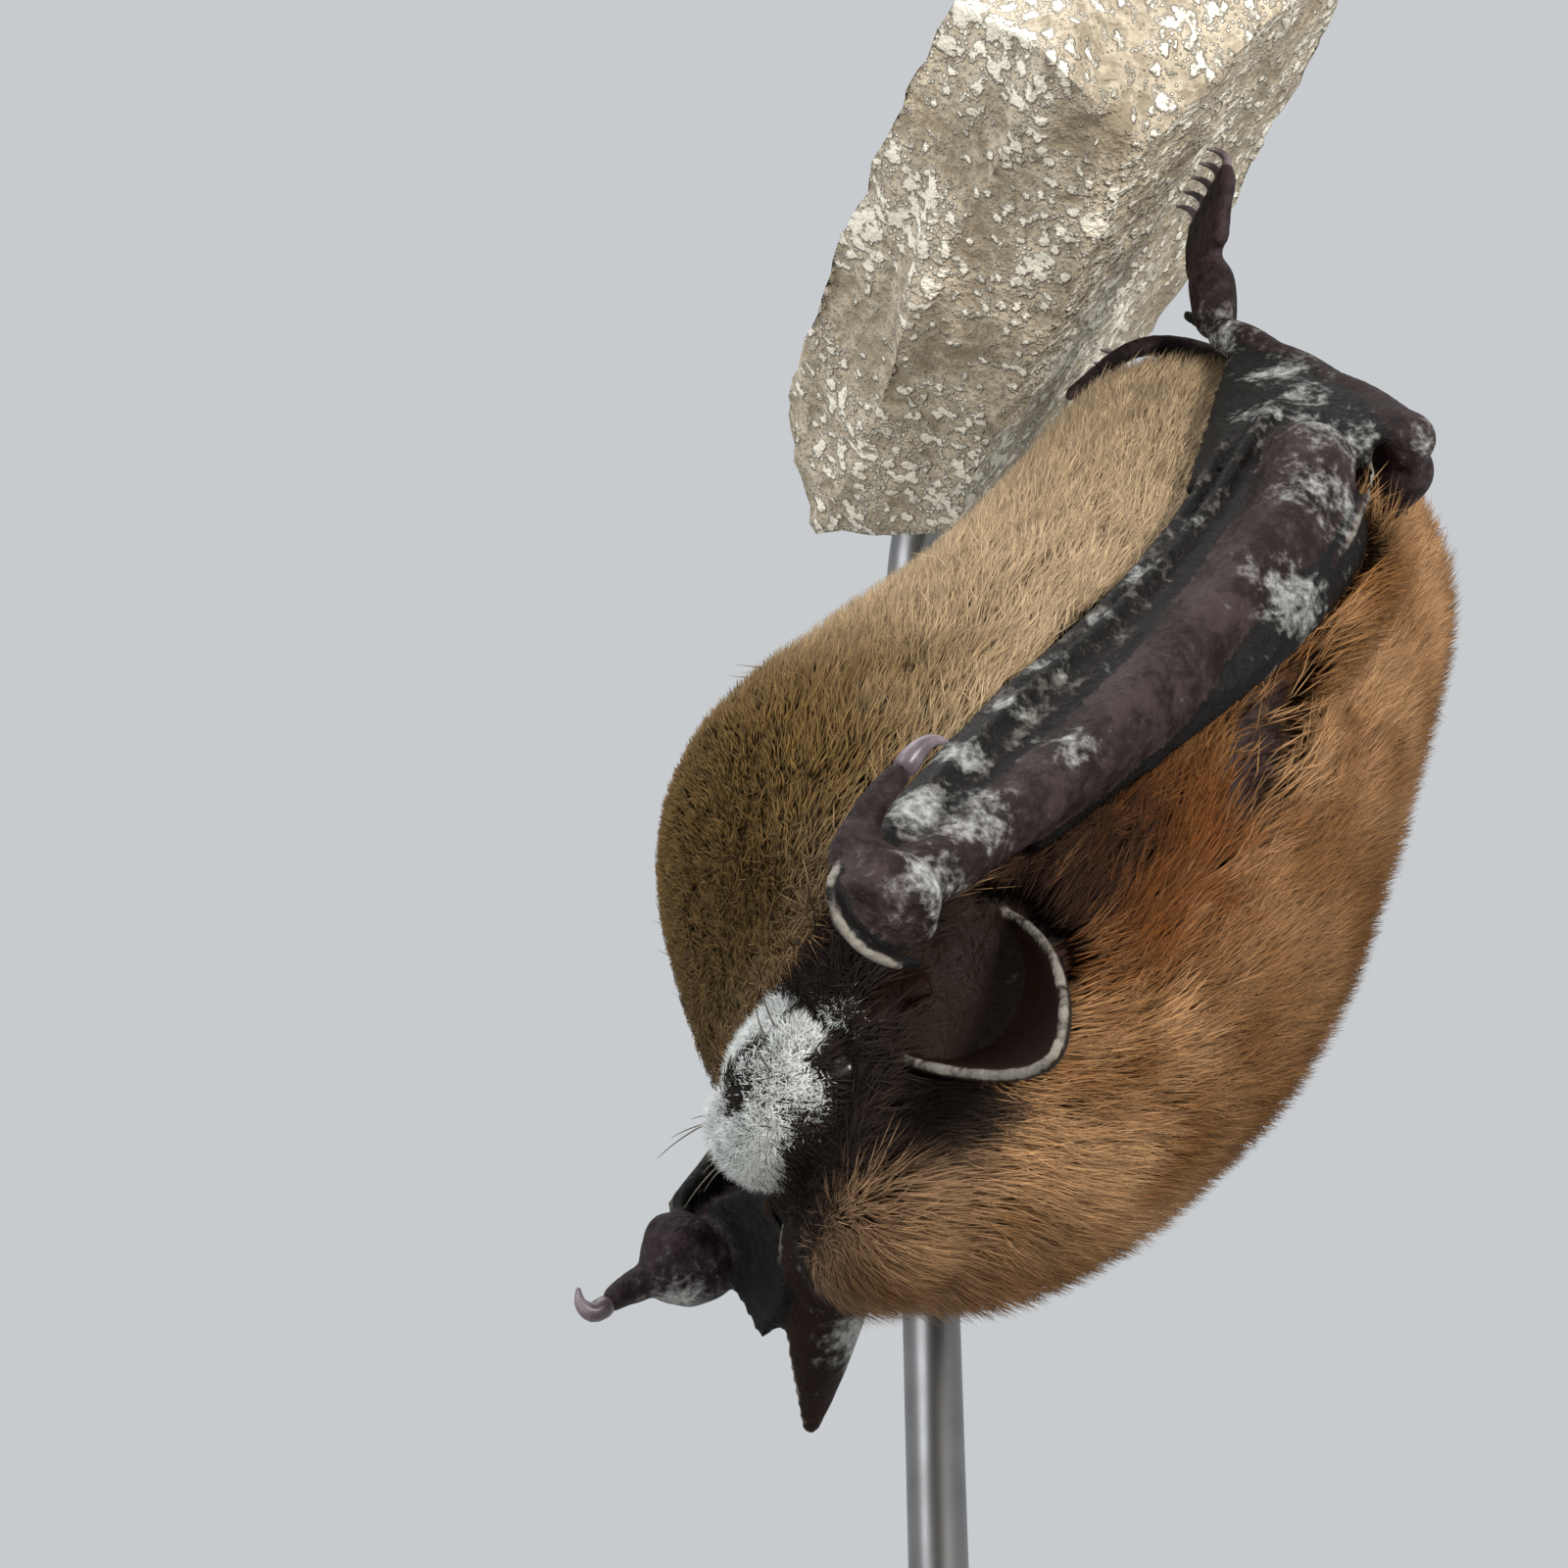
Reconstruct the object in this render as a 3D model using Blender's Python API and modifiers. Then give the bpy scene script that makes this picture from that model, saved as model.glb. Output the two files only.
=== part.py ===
"""Torpid little brown bat (Myotis lucifugus) hanging head down from a cut piece of rock.

The bat is modelled life size as the closed solids a person would name: head, ears, trunk, the
folded wings and the legs.  A bent rod and a flat base hold the rock.  The trunk, neck and head
reach out to the tips of the coat, and every bare limb is sunk into that coat with a thin gap.

Units are metres and +Z is up.  The belly faces -X, the back +X, and the bat's left side +Y.
The origin is the middle of the base's underside.
"""
import math

import bmesh
import bpy
from mathutils import Matrix, Vector, noise

MM = 0.001
WELD = 0.002 * MM
GAP = 0.2 * MM                       # clearance cut round every piece that is sunk into another
MODEL_NAME = "little_brown_bat"

# Driving dimensions ---------------------------------------------------------------------------
BODY_TILT = math.radians(34.5)       # the trunk's axis leans this far from the vertical
HEAD_FLEXION = math.radians(35.0)    # the head bends this far from the trunk towards the throat
GRIP = Vector((6.0, 0.0, 134.0)) * MM           # between the two feet, on the rock's face
BASE_RADIUS = 42.0 * MM
BASE_HEIGHT = 8.0 * MM
ROD_RADIUS = 1.3 * MM
ROD_BEND_RADIUS = 6.0 * MM
ROD_OFFSET = 24.0 * MM               # the rod rises this far to the bat's left
ROD_SEAT = 5.0 * MM                  # how deep the rod sits in the rock and in the base
ROD_CLEARANCE = 0.3 * MM
ROCK_LENGTH = 26.0 * MM
ROCK_WIDTH = 33.0 * MM
ROCK_THICKNESS = 11.0 * MM
ROCK_CENTRE = -1.5                   # the rock's middle along the body, in millimetres
ROCK_GRAIN = 34                      # seed of its unevenness
MEMBRANE = 0.6 * MM                  # thickness of every wing and tail skin
EAR_THICKNESS = 0.6 * MM
EYE_RADIUS = 0.8 * MM

CRANIAL = Vector((-math.sin(BODY_TILT), 0.0, -math.cos(BODY_TILT)))
VENTRAL = Vector((-math.cos(BODY_TILT), 0.0, math.sin(BODY_TILT)))
LEFT = Vector((0.0, 1.0, 0.0))
SIDES = (("left", 1.0), ("right", -1.0))

# Outline of the furred body in its own millimetres: distance from the feet towards the head,
# then the back, the belly and the half width there.  The rock's face is at height 0.
BODY_STATIONS = (
    (3.4, -12.5, -12.5, 0.0),        # end of the rump
    (3.9, -15.9, -8.2, 3.0),
    (6.0, -19.5, -4.4, 5.0),
    (10.0, -22.5, -2.1, 7.0),        # hips
    (18.0, -25.1, -2.4, 9.6),
    (27.0, -27.6, -2.4, 11.3),       # waist
    (35.0, -29.1, -1.4, 12.1),
    (41.5, -28.6, -1.2, 11.9),       # chest and shoulders
    (46.3, -27.6, -5.6, 10.6),
    (49.8, -26.2, -11.2, 8.6),       # nape and throat
    (52.8, -24.2, -15.4, 6.4),
    (54.9, -21.9, -17.6, 3.6),
    (55.7, -19.8, -19.8, 0.0),       # crown
)
# Outline of the face along the head's own axis: position, top, underside, half width.
HEAD_CENTRE = (47.8, -16.6)
HEAD_STATIONS = (
    (-5.0, 0.0, 0.0, 0.0),
    (-4.0, 3.6, -3.2, 3.8),
    (-1.0, 5.5, -4.3, 5.4),
    (2.0, 5.5, -4.3, 5.3),           # temples
    (4.0, 4.3, -3.9, 4.6),
    (5.3, 3.1, -3.4, 3.8),           # root of the muzzle
    (6.4, 2.3, -2.7, 3.1),
    (7.2, 1.4, -1.9, 2.2),
    (7.5, -0.2, -0.2, 0.0),          # tip of the nose
)
EYE_PLACE = (4.0, 1.0, 4.15)         # along, above and beside the head's axis

NECK_CUT = (42.0, math.radians(5.0))            # where and how tilted the trunk ends
HEAD_CUT = (46.3, math.radians(13.0))           # the same for the neck


# Frames ---------------------------------------------------------------------------------------
def body_point(along: float, out: float, side: float) -> Vector:
    """Turn millimetres along the body, towards the belly and to the left into a world point."""
    return GRIP + (CRANIAL * along + VENTRAL * out + LEFT * side) * MM


def head_point(along: float, up: float, side: float) -> Vector:
    """Turn millimetres along, above and to the left of the head's axis into a world point."""
    cos, sin = math.cos(HEAD_FLEXION), math.sin(HEAD_FLEXION)
    return body_point(
        HEAD_CENTRE[0] + cos * along + sin * up,
        HEAD_CENTRE[1] + sin * along - cos * up,
        side,
    )


def spline(rows, t: float) -> list[float]:
    """Read a smooth (Catmull-Rom) curve through rows of numbers at t from 0 to 1."""
    spans = len(rows) - 1
    span = min(int(t * spans), spans - 1)
    x = t * spans - span
    before, start = rows[max(span - 1, 0)], rows[span]
    end, after = rows[span + 1], rows[min(span + 2, spans)]
    weights = (
        -0.5 * x + x * x - 0.5 * x ** 3,
        1.0 - 2.5 * x * x + 1.5 * x ** 3,
        0.5 * x + 2.0 * x * x - 1.5 * x ** 3,
        -0.5 * x * x + 0.5 * x ** 3,
    )
    return [
        sum(w * value for w, value in zip(weights, column))
        for column in zip(before, start, end, after)
    ]


def bump(distance: float, width: float) -> float:
    """A soft hill: 1 at distance 0, falling away over the width."""
    return math.exp(-((distance / width) ** 2))


# Modelling helpers ------------------------------------------------------------------------------
def new_object(name: str, mesh, collection):
    """Link a new object that holds the mesh."""
    obj = bpy.data.objects.new(name, mesh)
    collection.objects.link(obj)
    return obj


def new_cutter(name, mesh, cutters):
    """Link a solid that only cuts others."""
    obj = new_object(name, mesh, cutters)
    obj.hide_render = True
    obj.display_type = "WIRE"
    return obj


def face_outwards(bm):
    """Turn every face of a closed body outwards."""
    bmesh.ops.recalc_face_normals(bm, faces=bm.faces)
    if bm.calc_volume(signed=True) < 0.0:
        bmesh.ops.reverse_faces(bm, faces=bm.faces)


def shaped_sphere(name, segments, rings, place, collection):
    """A ball whose vertices go to place(ring number, turn in radians)."""
    bm = bmesh.new()
    bmesh.ops.create_uvsphere(bm, u_segments=segments, v_segments=rings, radius=1.0)
    for vert in bm.verts:
        ring = rings * math.acos(max(-1.0, min(1.0, -vert.co.z))) / math.pi
        turn = math.atan2(vert.co.y, vert.co.x)
        vert.co = place(round(ring), turn)
    face_outwards(bm)
    mesh = bpy.data.meshes.new(name)
    bm.to_mesh(mesh)
    bm.free()
    return new_object(name, mesh, collection)


def shaped_sheet(name, columns, rows, place, thickness, collection):
    """A sheet whose grid goes to place(across from -1 to 1, along from 0 to 1), made solid."""
    bm = bmesh.new()
    bmesh.ops.create_grid(bm, x_segments=columns, y_segments=rows, size=1.0)
    for vert in bm.verts:
        vert.co = place(vert.co.x, 0.5 * (vert.co.y + 1.0))
    mesh = bpy.data.meshes.new(name)
    bm.to_mesh(mesh)
    bm.free()
    obj = new_object(name, mesh, collection)
    solid = obj.modifiers.new("Thickness", "SOLIDIFY")
    solid.thickness = thickness
    solid.offset = 0.0
    return bake(obj)


def limb(name, points, radii, collection, sides=8, spans=6, flat=1.0, across=LEFT):
    """A round-ended limb along a smooth curve.

    The section's half size is the radius along `across` and the radius times flat the other way.
    """
    cap = 2
    rings = spans + 2 * cap
    fine = 40
    trail = [Vector(spline(points, i / fine)) for i in range(fine + 1)]
    length = sum((b - a).length for a, b in zip(trail, trail[1:]))

    def station(ring):
        """Distance along the limb and the section's scale at a ring."""
        if ring <= cap:
            angle = 0.5 * math.pi * ring / cap
            return radii[0] * MM * (1.0 - math.cos(angle)), math.sin(angle)
        if ring >= rings - cap:
            angle = 0.5 * math.pi * (rings - ring) / cap
            return length - radii[-1] * MM * (1.0 - math.cos(angle)), math.sin(angle)
        first, last = radii[0] * MM, length - radii[-1] * MM
        return first + (last - first) * (ring - cap) / spans, 1.0

    def place(ring, turn):
        """Point of the limb's skin."""
        distance, scale = station(ring)
        t = distance / length
        centre = Vector(spline(points, t))
        ahead = Vector(spline(points, min(t + 0.02, 1.0))) - Vector(spline(points, max(t - 0.02, 0.0)))
        ahead.normalize()
        wide = (across - ahead * across.dot(ahead)).normalized()
        high = ahead.cross(wide)
        radius = spline([(r,) for r in radii], t)[0] * MM * scale
        return centre + wide * (radius * math.cos(turn)) + high * (radius * flat * math.sin(turn))

    return shaped_sphere(name, sides, rings, place, collection)


def bake(obj):
    """Put the modifiers' result into the object's own mesh and keep its largest closed body."""
    graph = bpy.context.evaluated_depsgraph_get()
    mesh = bpy.data.meshes.new_from_object(obj.evaluated_get(graph))
    obj.modifiers.clear()
    old = obj.data
    obj.data = mesh
    bpy.data.meshes.remove(old)
    mesh.name = obj.name
    bm = bmesh.new()
    bm.from_mesh(mesh)
    bmesh.ops.remove_doubles(bm, verts=bm.verts, dist=WELD)
    bmesh.ops.dissolve_degenerate(bm, edges=bm.edges, dist=WELD)
    keep_largest(bm)
    face_outwards(bm)
    bm.to_mesh(mesh)
    bm.free()
    return obj


def keep_largest(bm):
    """Delete every loose piece but the one that holds most space."""
    todo = set(bm.verts)
    pieces = []
    while todo:
        stack = [todo.pop()]
        piece = set(stack)
        while stack:
            for edge in stack.pop().link_edges:
                for vert in edge.verts:
                    if vert in todo:
                        todo.discard(vert)
                        piece.add(vert)
                        stack.append(vert)
        pieces.append(piece)
    if len(pieces) < 2:
        return
    largest = max(pieces, key=span)
    bmesh.ops.delete(bm, geom=[v for v in bm.verts if v not in largest], context="VERTS")


def span(piece) -> float:
    """Size of the box round some vertices."""
    spread = [max(v.co[i] for v in piece) - min(v.co[i] for v in piece) for i in range(3)]
    return spread[0] * spread[1] * spread[2]


def grown(obj, amount, cutters):
    """A copy of an object, larger all round by the amount, to cut with."""
    mesh = obj.data.copy()
    bm = bmesh.new()
    bm.from_mesh(mesh)
    bm.normal_update()
    for vert in bm.verts:
        vert.co = vert.co + vert.normal * (amount * min(vert.calc_shell_factor(), 2.0))
    bm.to_mesh(mesh)
    bm.free()
    return new_cutter("cut_" + obj.name, mesh, cutters)


def combine(target, others, operation):
    """Join other solids to the target, or cut them out of it."""
    for other in others:
        mod = target.modifiers.new(other.name, "BOOLEAN")
        mod.operation = operation
        mod.object = other
        mod.solver = "EXACT"
    return bake(target)


def carve(target, others, cutters, gap=GAP):
    """Cut the other pieces out of the target with a thin gap all round."""
    return combine(target, [grown(other, gap, cutters) for other in others], "DIFFERENCE")


def fuse(target, others):
    """Join solids that overlap the target into it and remove them."""
    combine(target, others, "UNION")
    for other in others:
        bpy.data.objects.remove(other)
    return target


def side_of_plane(obj, name, point, normal, collection):
    """The part of a solid that lies on the plane's side, closed with a flat face."""
    bm = bmesh.new()
    bm.from_mesh(obj.data)
    geometry = bm.verts[:] + bm.edges[:] + bm.faces[:]
    cut = bmesh.ops.bisect_plane(
        bm, geom=geometry, plane_co=point, plane_no=normal, clear_inner=True, dist=WELD
    )
    edges = [e for e in cut["geom_cut"] if isinstance(e, bmesh.types.BMEdge)]
    bmesh.ops.holes_fill(bm, edges=edges)
    face_outwards(bm)
    mesh = bpy.data.meshes.new(name)
    bm.to_mesh(mesh)
    bm.free()
    return new_object(name, mesh, collection)


# Body ---------------------------------------------------------------------------------------------
def oval(centre, half_depth, half_width, turn, fullness=0.9):
    """A rounded section: (towards the belly, sideways) at a turn round the axis."""
    cos, sin = math.cos(turn), math.sin(turn)
    depth = math.copysign(abs(cos) ** fullness, cos) * half_depth
    width = math.copysign(abs(sin) ** fullness, sin) * half_width
    return centre + depth, width


def furred_body(collection):
    """Trunk, neck and crown as one egg that reaches to the tips of the coat."""
    rings = 21

    def place(ring, turn):
        """Point of the coat's outer surface."""
        along, back, belly, half_width = spline(BODY_STATIONS, ring / rings)
        out, side = oval(0.5 * (back + belly), 0.5 * (belly - back), half_width, turn)
        return body_point(along, out, side)

    return shaped_sphere("furred_body", 24, rings, place, collection)


def face(collection):
    """Skull and muzzle: brow, cheeks, swollen lips, a chin that recedes and two nostrils."""
    rings = 14

    def place(ring, turn):
        """Point of the short-haired face."""
        along, top, under, half_width = spline(HEAD_STATIONS, ring / rings)
        up, side = oval(0.5 * (top + under), 0.5 * (top - under), half_width, turn)
        cheek = bump(along - 5.6, 1.4) * bump(up + 0.8, 1.3)
        chin = bump(along - 6.9, 1.2) * bump(up + 2.3, 0.9)
        nostril = bump(along - 7.3, 0.7) * bump(up - 0.4, 0.9) * bump(abs(side) - 1.05, 0.8)
        side += math.copysign(0.35 * cheek, side)
        return head_point(along - 0.7 * chin + 0.4 * nostril, up, side)

    return shaped_sphere("face", 16, rings, place, collection)


# Each ear's length, bend of the tip, greatest half width, fullness at base and tip, roll in
# degrees at the base and lost by the tip, depth of the cup, then its base and three axes in
# head coordinates: along the ear, from the outer margin to the inner one, and to the cup's back.
EARS = {
    1.0: (
        13.1, -0.71, 2.22, 0.55, 1.0, 107.0, 26.9, 1.0,
        Vector((-0.56, -1.6, 5.26)), Vector((0.204, 0.671, 0.712)),
        Vector((0.846, 0.245, -0.474)), Vector((-0.493, 0.699, -0.518)),
    ),
    -1.0: (
        12.67, 2.99, 3.31, 0.25, 0.7, 92.1, 31.8, 0.83,
        Vector((-0.1, -1.51, 4.61)), Vector((-0.013, 0.538, 0.843)),
        Vector((0.703, 0.605, -0.375)), Vector((-0.712, 0.587, -0.386)),
    ),
}


def ear_point(sign, across, along):
    """Point of an ear's middle surface: a leaf, rolled into a cup that opens forwards."""
    length, bend, fullest, near, far, roll, unroll, cup, base, reach, inwards, behind = EARS[sign]
    peak = near / (near + far)
    share = (along / peak) ** near * ((1.0 - along) / (1.0 - peak)) ** far
    half_width = fullest * share + 0.12
    turn = math.radians(roll - unroll * along)
    wide = half_width * math.sin(across * turn) / max(math.sin(min(turn, 0.5 * math.pi)), 0.75)
    deep = cup * half_width * (math.cos(across * turn) - 0.3)
    point = base + reach * (length * along) + inwards * (wide + bend * along ** 2) + behind * deep
    return head_point(point.x, point.y, sign * point.z)


def tragus_point(sign, across, along):
    """Point of the blunt little lobe that stands in the ear's opening."""
    half_width = 0.8 * (1.0 - 0.75 * along ** 2)
    ahead = 0.8 if sign > 0 else 0.0             # the closed left ear leaves it less room
    return head_point(
        1.6 + ahead + 0.4 * along + half_width * across * 0.7,
        -1.5 - 0.7 * ahead + 2.2 * along + half_width * across * 0.6,
        sign * (5.5 + 3.0 * along - half_width * across * 0.4),
    )


def ear(name, sign, collection):
    """One ear as a thin cup."""
    return shaped_sheet(
        name, 6, 6, lambda u, w: ear_point(sign, u, w), EAR_THICKNESS, collection
    )


def tragus(name, sign, collection):
    """One tragus as a thin leaf."""
    return shaped_sheet(
        name, 2, 4, lambda u, w: tragus_point(sign, u, w), EAR_THICKNESS, collection
    )


def ear_hollow(obj, cutters):
    """The space an ear shelters, which the head's coat must leave free."""
    bm = bmesh.new()
    bm.from_mesh(obj.data)
    hull = bmesh.ops.convex_hull(bm, input=bm.verts, use_existing_faces=False)
    inner = [g for g in hull["geom_interior"] + hull["geom_unused"] if isinstance(g, bmesh.types.BMVert)]
    bmesh.ops.delete(bm, geom=inner, context="VERTS")
    for facet in [f for f in bm.faces if f not in hull["geom"]]:
        bm.faces.remove(facet)
    face_outwards(bm)
    mesh = bpy.data.meshes.new("hollow_" + obj.name)
    bm.to_mesh(mesh)
    bm.free()
    return new_cutter("hollow_" + obj.name, mesh, cutters)


# Wings --------------------------------------------------------------------------------------------
ELBOW = (16.6, -13.3, 12.1)
WRIST = (51.8, -13.4, 13.0)
SHOULDER = (38.0, -18.6, 7.4)
KNEE = (15.0, -17.3, 13.6)
ANKLE = (7.6, -5.8, 6.1)
FOREARM_ROUTE = (ELBOW, (24.0, -15.2, 12.4), (36.0, -15.3, 12.6), (45.0, -14.5, 12.9), (51.0, -13.5, 13.0))
FOREARM_RADII = (1.85, 2.1, 1.7, 1.35, 1.25)
UPPER_ARM_ROUTE = ((16.4, -16.6, 12.0), (21.0, -17.9, 11.8), (29.0, -18.8, 10.4), SHOULDER)
UPPER_ARM_RADII = (1.4, 1.7, 2.2, 2.6)


def route(points, sign):
    """World points of a limb's route on one side."""
    return [body_point(a, v, sign * s) for a, v, s in points]


def folded_hand(name, sign, collection):
    """The folded fingers: four hand bones lie side by side with the wing skin between them."""
    rings = 8
    stations = (                     # position, outer height, inner height, outer and inner side
        (15.2, -11.8, -11.2, 12.0, 11.2),
        (18.0, -13.2, -10.0, 12.9, 9.6),
        (24.0, -13.6, -11.0, 13.1, 9.4),
        (32.0, -13.9, -11.3, 13.3, 9.6),
        (42.0, -13.4, -10.8, 13.6, 10.4),
        (50.4, -12.8, -11.2, 13.8, 12.2),
    )

    def place(ring, turn):
        """Point of the bundle's skin, ridged over each bone."""
        t = ring / rings
        along, back, belly, outer, inner = spline(stations, t)
        scale = math.sin(math.pi * t) ** 0.35
        out, side = oval(0.0, 0.5 * (belly - back) * scale, 0.5 * (outer - inner) * scale, turn)
        ridge = 1.0 + 0.10 * math.cos(5.0 * turn) * scale
        return body_point(
            along,
            0.5 * (back + belly) + out * ridge,
            sign * (0.5 * (outer + inner) + side * ridge),
        )

    return shaped_sphere(name, 20, rings, place, collection)


def wrist(name, sign, collection):
    """The rounded wrist that ends the folded wing."""
    points = route(((49.5, -13.3, 12.9), (51.7, -13.3, 13.0), (53.7, -13.6, 13.1)), sign)
    return limb(name, points, (1.7, 2.35, 1.9), collection, sides=10, spans=3, flat=0.95)


def thumb(name, sign, collection):
    """Thumb with its hooked claw; the two lie differently."""
    if sign < 0:
        root, middle, tip = (52.0, -11.4, 13.3), (49.6, -10.8, 14.4), (47.4, -10.9, 15.2)
        hook = (46.2, -11.2, 15.6)
    else:
        root, middle, tip = (52.9, -12.8, 13.2), (54.3, -12.2, 13.4), (55.6, -12.1, 13.3)
        hook = (55.4, -10.9, 12.9)
    points = route((root, middle, tip, hook), sign)
    return limb(name, points, (1.05, 0.75, 0.6, 0.16), collection, sides=7, spans=6)


def sheet_between(name, first, second, sign, collection, columns=5, rows=8, bulge=0.0, spread=None):
    """A skin stretched between two routes, bowed outwards in the middle."""

    def place(across, along):
        """Point of the skin."""
        t = 0.5 * (across + 1.0)
        a, b = Vector(spline(first, along)), Vector(spline(second, along))
        point = a.lerp(b, t)
        point.z += bulge * math.sin(math.pi * t)
        if spread is not None:
            point.z += spread(t, along)
        return body_point(point.x, point.y, sign * point.z)

    return shaped_sheet(name, columns, rows, place, MEMBRANE, collection)


def arm_web(name, sign, collection):
    """The skin between the upper arm and the forearm; its corner stands free at the left wrist."""
    corner = (52.8, -18.2, 11.6) if sign > 0 else (50.6, -16.2, 12.3)
    outer = (
        (20.0, -16.6, 13.2), (28.0, -17.6, 13.5), (36.0, -17.4, 12.9), (44.0, -16.4, 12.8),
        (52.2, -15.4, 12.8),
    )
    inner = (
        (20.5, -18.6, 12.0), (26.0, -19.4, 11.9), (32.0, -19.2, 11.9), (40.0, -18.0, 11.3), corner,
    )
    return sheet_between(name, outer, inner, sign, collection, columns=3, rows=7, bulge=0.3)


def flank_web(name, sign, collection):
    """The wing skin between the folded hand, the shin and the ankle."""
    upper = ((8.2, -6.6, 7.0), (10.4, -9.6, 9.4), (12.2, -12.6, 11.6), (14.4, -15.6, 13.2))
    lower = ((22.5, -9.9, 10.8), (20.6, -10.8, 11.6), (18.0, -12.6, 12.4), (17.2, -15.6, 12.8))
    return sheet_between(name, upper, lower, sign, collection, columns=4, rows=4, bulge=0.25)


def wing(side, sign, collection, cutters):
    """Every piece of one folded wing, each clear of the others."""
    forearm = limb(
        "forearm_" + side, route(FOREARM_ROUTE, sign), FOREARM_RADII, collection, sides=9, spans=6
    )
    upper = limb(
        "upper_arm_" + side, route(UPPER_ARM_ROUTE, sign), UPPER_ARM_RADII, collection, sides=8, spans=6
    )
    carpus = wrist("wrist_" + side, sign, collection)
    digit = thumb("thumb_" + side, sign, collection)
    hand = folded_hand("folded_hand_" + side, sign, collection)
    web = arm_web("arm_web_" + side, sign, collection)
    carve(digit, [carpus], cutters)
    carve(forearm, [carpus], cutters)
    carve(upper, [forearm], cutters)
    carve(hand, [forearm, carpus, digit], cutters)
    carve(web, [forearm, upper, carpus], cutters)
    return [forearm, upper, carpus, digit, hand, web]


# Legs and tail ----------------------------------------------------------------------------------
def foot(name, sign, collection):
    """Sole with five toes whose claws hook onto the rock."""
    sole = limb(
        name,
        route(((7.9, -6.0, 6.1), (6.1, -4.6, 6.4), (4.5, -3.3, 6.6)), sign),
        (1.0, 1.2, 1.1), collection, sides=7, spans=2, flat=0.95,
    )
    toes = []
    for number in range(5):
        spread = (number - 2) * 0.62
        base, middle = 6.6 + spread, 6.8 + spread * 1.5
        rows = (
            (4.8, -3.5, base), (3.1, -2.4, middle), (1.7, -1.75, middle),
            (0.7, -1.1, middle), (0.6, -0.03, middle),
        )
        points = route(rows, sign)
        toe = limb("toe", points, (0.52, 0.46, 0.52, 0.38, 0.12), collection, sides=5, spans=2)
        toes.append(toe)
    return fuse(sole, toes)


def leg(side, sign, collection, cutters):
    """Thigh, shin and foot of one leg, with the wing skin that joins them."""
    thigh = limb(
        "thigh_" + side,
        route(((9.5, -14.5, 4.0), (12.5, -16.2, 9.0), (15.0, -17.1, 12.4)), sign),
        (2.6, 2.0, 1.3), collection, sides=8, spans=4,
    )
    shin = limb(
        "shin_" + side,
        route((KNEE, (12.2, -13.0, 11.2), (9.6, -8.8, 8.4), ANKLE), sign),
        (1.35, 1.0, 0.9, 0.95), collection, sides=8, spans=6,
    )
    sole = foot("foot_" + side, sign, collection)
    web = flank_web("flank_web_" + side, sign, collection)
    carve(sole, [shin], cutters)
    carve(thigh, [shin], cutters)
    return [thigh, shin, sole], web


def tail(collection):
    """The tail, curled from the rump towards the rock and down over the belly."""
    points = route(
        ((5.2, -14.0, 0.0), (1.9, -10.0, 0.3), (1.2, -5.4, 0.6), (3.4, -2.2, 0.9), (9.0, -1.4, 1.2)),
        1.0,
    )
    return limb("tail", points, (1.1, 0.85, 0.7, 0.6, 0.45), collection, sides=7, spans=7)


def tail_web(side, sign, collection):
    """Half of the skin between the tail and one leg."""
    by_tail = ((3.4, -13.2, 0.9), (1.7, -9.6, 1.2), (1.2, -6.0, 1.4), (2.4, -2.9, 1.4))
    by_leg = ((9.0, -12.6, 7.4), (8.2, -10.2, 7.2), (7.4, -8.0, 6.6), (6.6, -6.0, 5.0))
    return sheet_between("tail_web_" + side, by_tail, by_leg, sign, collection, columns=3, rows=5)


# Stand ------------------------------------------------------------------------------------------
def perch_rock(collection):
    """A short cut piece of the rock the bat hangs from, rough on every side but its cut ends."""
    noise.seed_set(ROCK_GRAIN)
    bm = bmesh.new()
    bmesh.ops.create_cube(bm, size=1.0)
    bmesh.ops.subdivide_edges(bm, edges=bm.edges, cuts=3, use_grid_fill=True)
    for vert in bm.verts:
        along, out, side = vert.co * 2.0
        rounding = 1.0 - 0.10 * (along ** 4 + side ** 4) * abs(out)
        grain = noise.noise_vector(Vector((along, out, side)) * 1.7 + Vector((3.1, 0.4, 7.7)))
        lift = min(1.0, 0.25 + 0.8 * abs(out + 1.0))
        vert.co = body_point(
            ROCK_CENTRE + 0.5 * ROCK_LENGTH / MM * along * rounding + 1.3 * grain.x,
            0.5 * ROCK_THICKNESS / MM * (1.0 + out) + 1.1 * grain.y * lift + 0.35,
            0.5 * ROCK_WIDTH / MM * side * rounding + 1.6 * grain.z,
        )
    face_outwards(bm)
    mesh = bpy.data.meshes.new("perch_rock")
    bm.to_mesh(mesh)
    bm.free()
    return new_object("perch_rock", mesh, collection)


def rod_route():
    """Centre line of the rod: up out of the base, round one bend and into the rock's side."""
    middle = body_point(ROCK_CENTRE, 0.5 * ROCK_THICKNESS / MM, 0.0)
    seat = middle + LEFT * (0.5 * ROCK_WIDTH - ROD_SEAT)
    centre = middle + LEFT * (ROD_OFFSET - ROD_BEND_RADIUS) - Vector((0.0, 0.0, ROD_BEND_RADIUS))
    arc = [
        centre + Vector((0.0, math.cos(angle), math.sin(angle))) * ROD_BEND_RADIUS
        for angle in (math.radians(15.0 * i) for i in range(7))
    ]
    foot_point = Vector((middle.x, ROD_OFFSET, BASE_HEIGHT - ROD_SEAT))
    return [foot_point] + arc + [seat]


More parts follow.
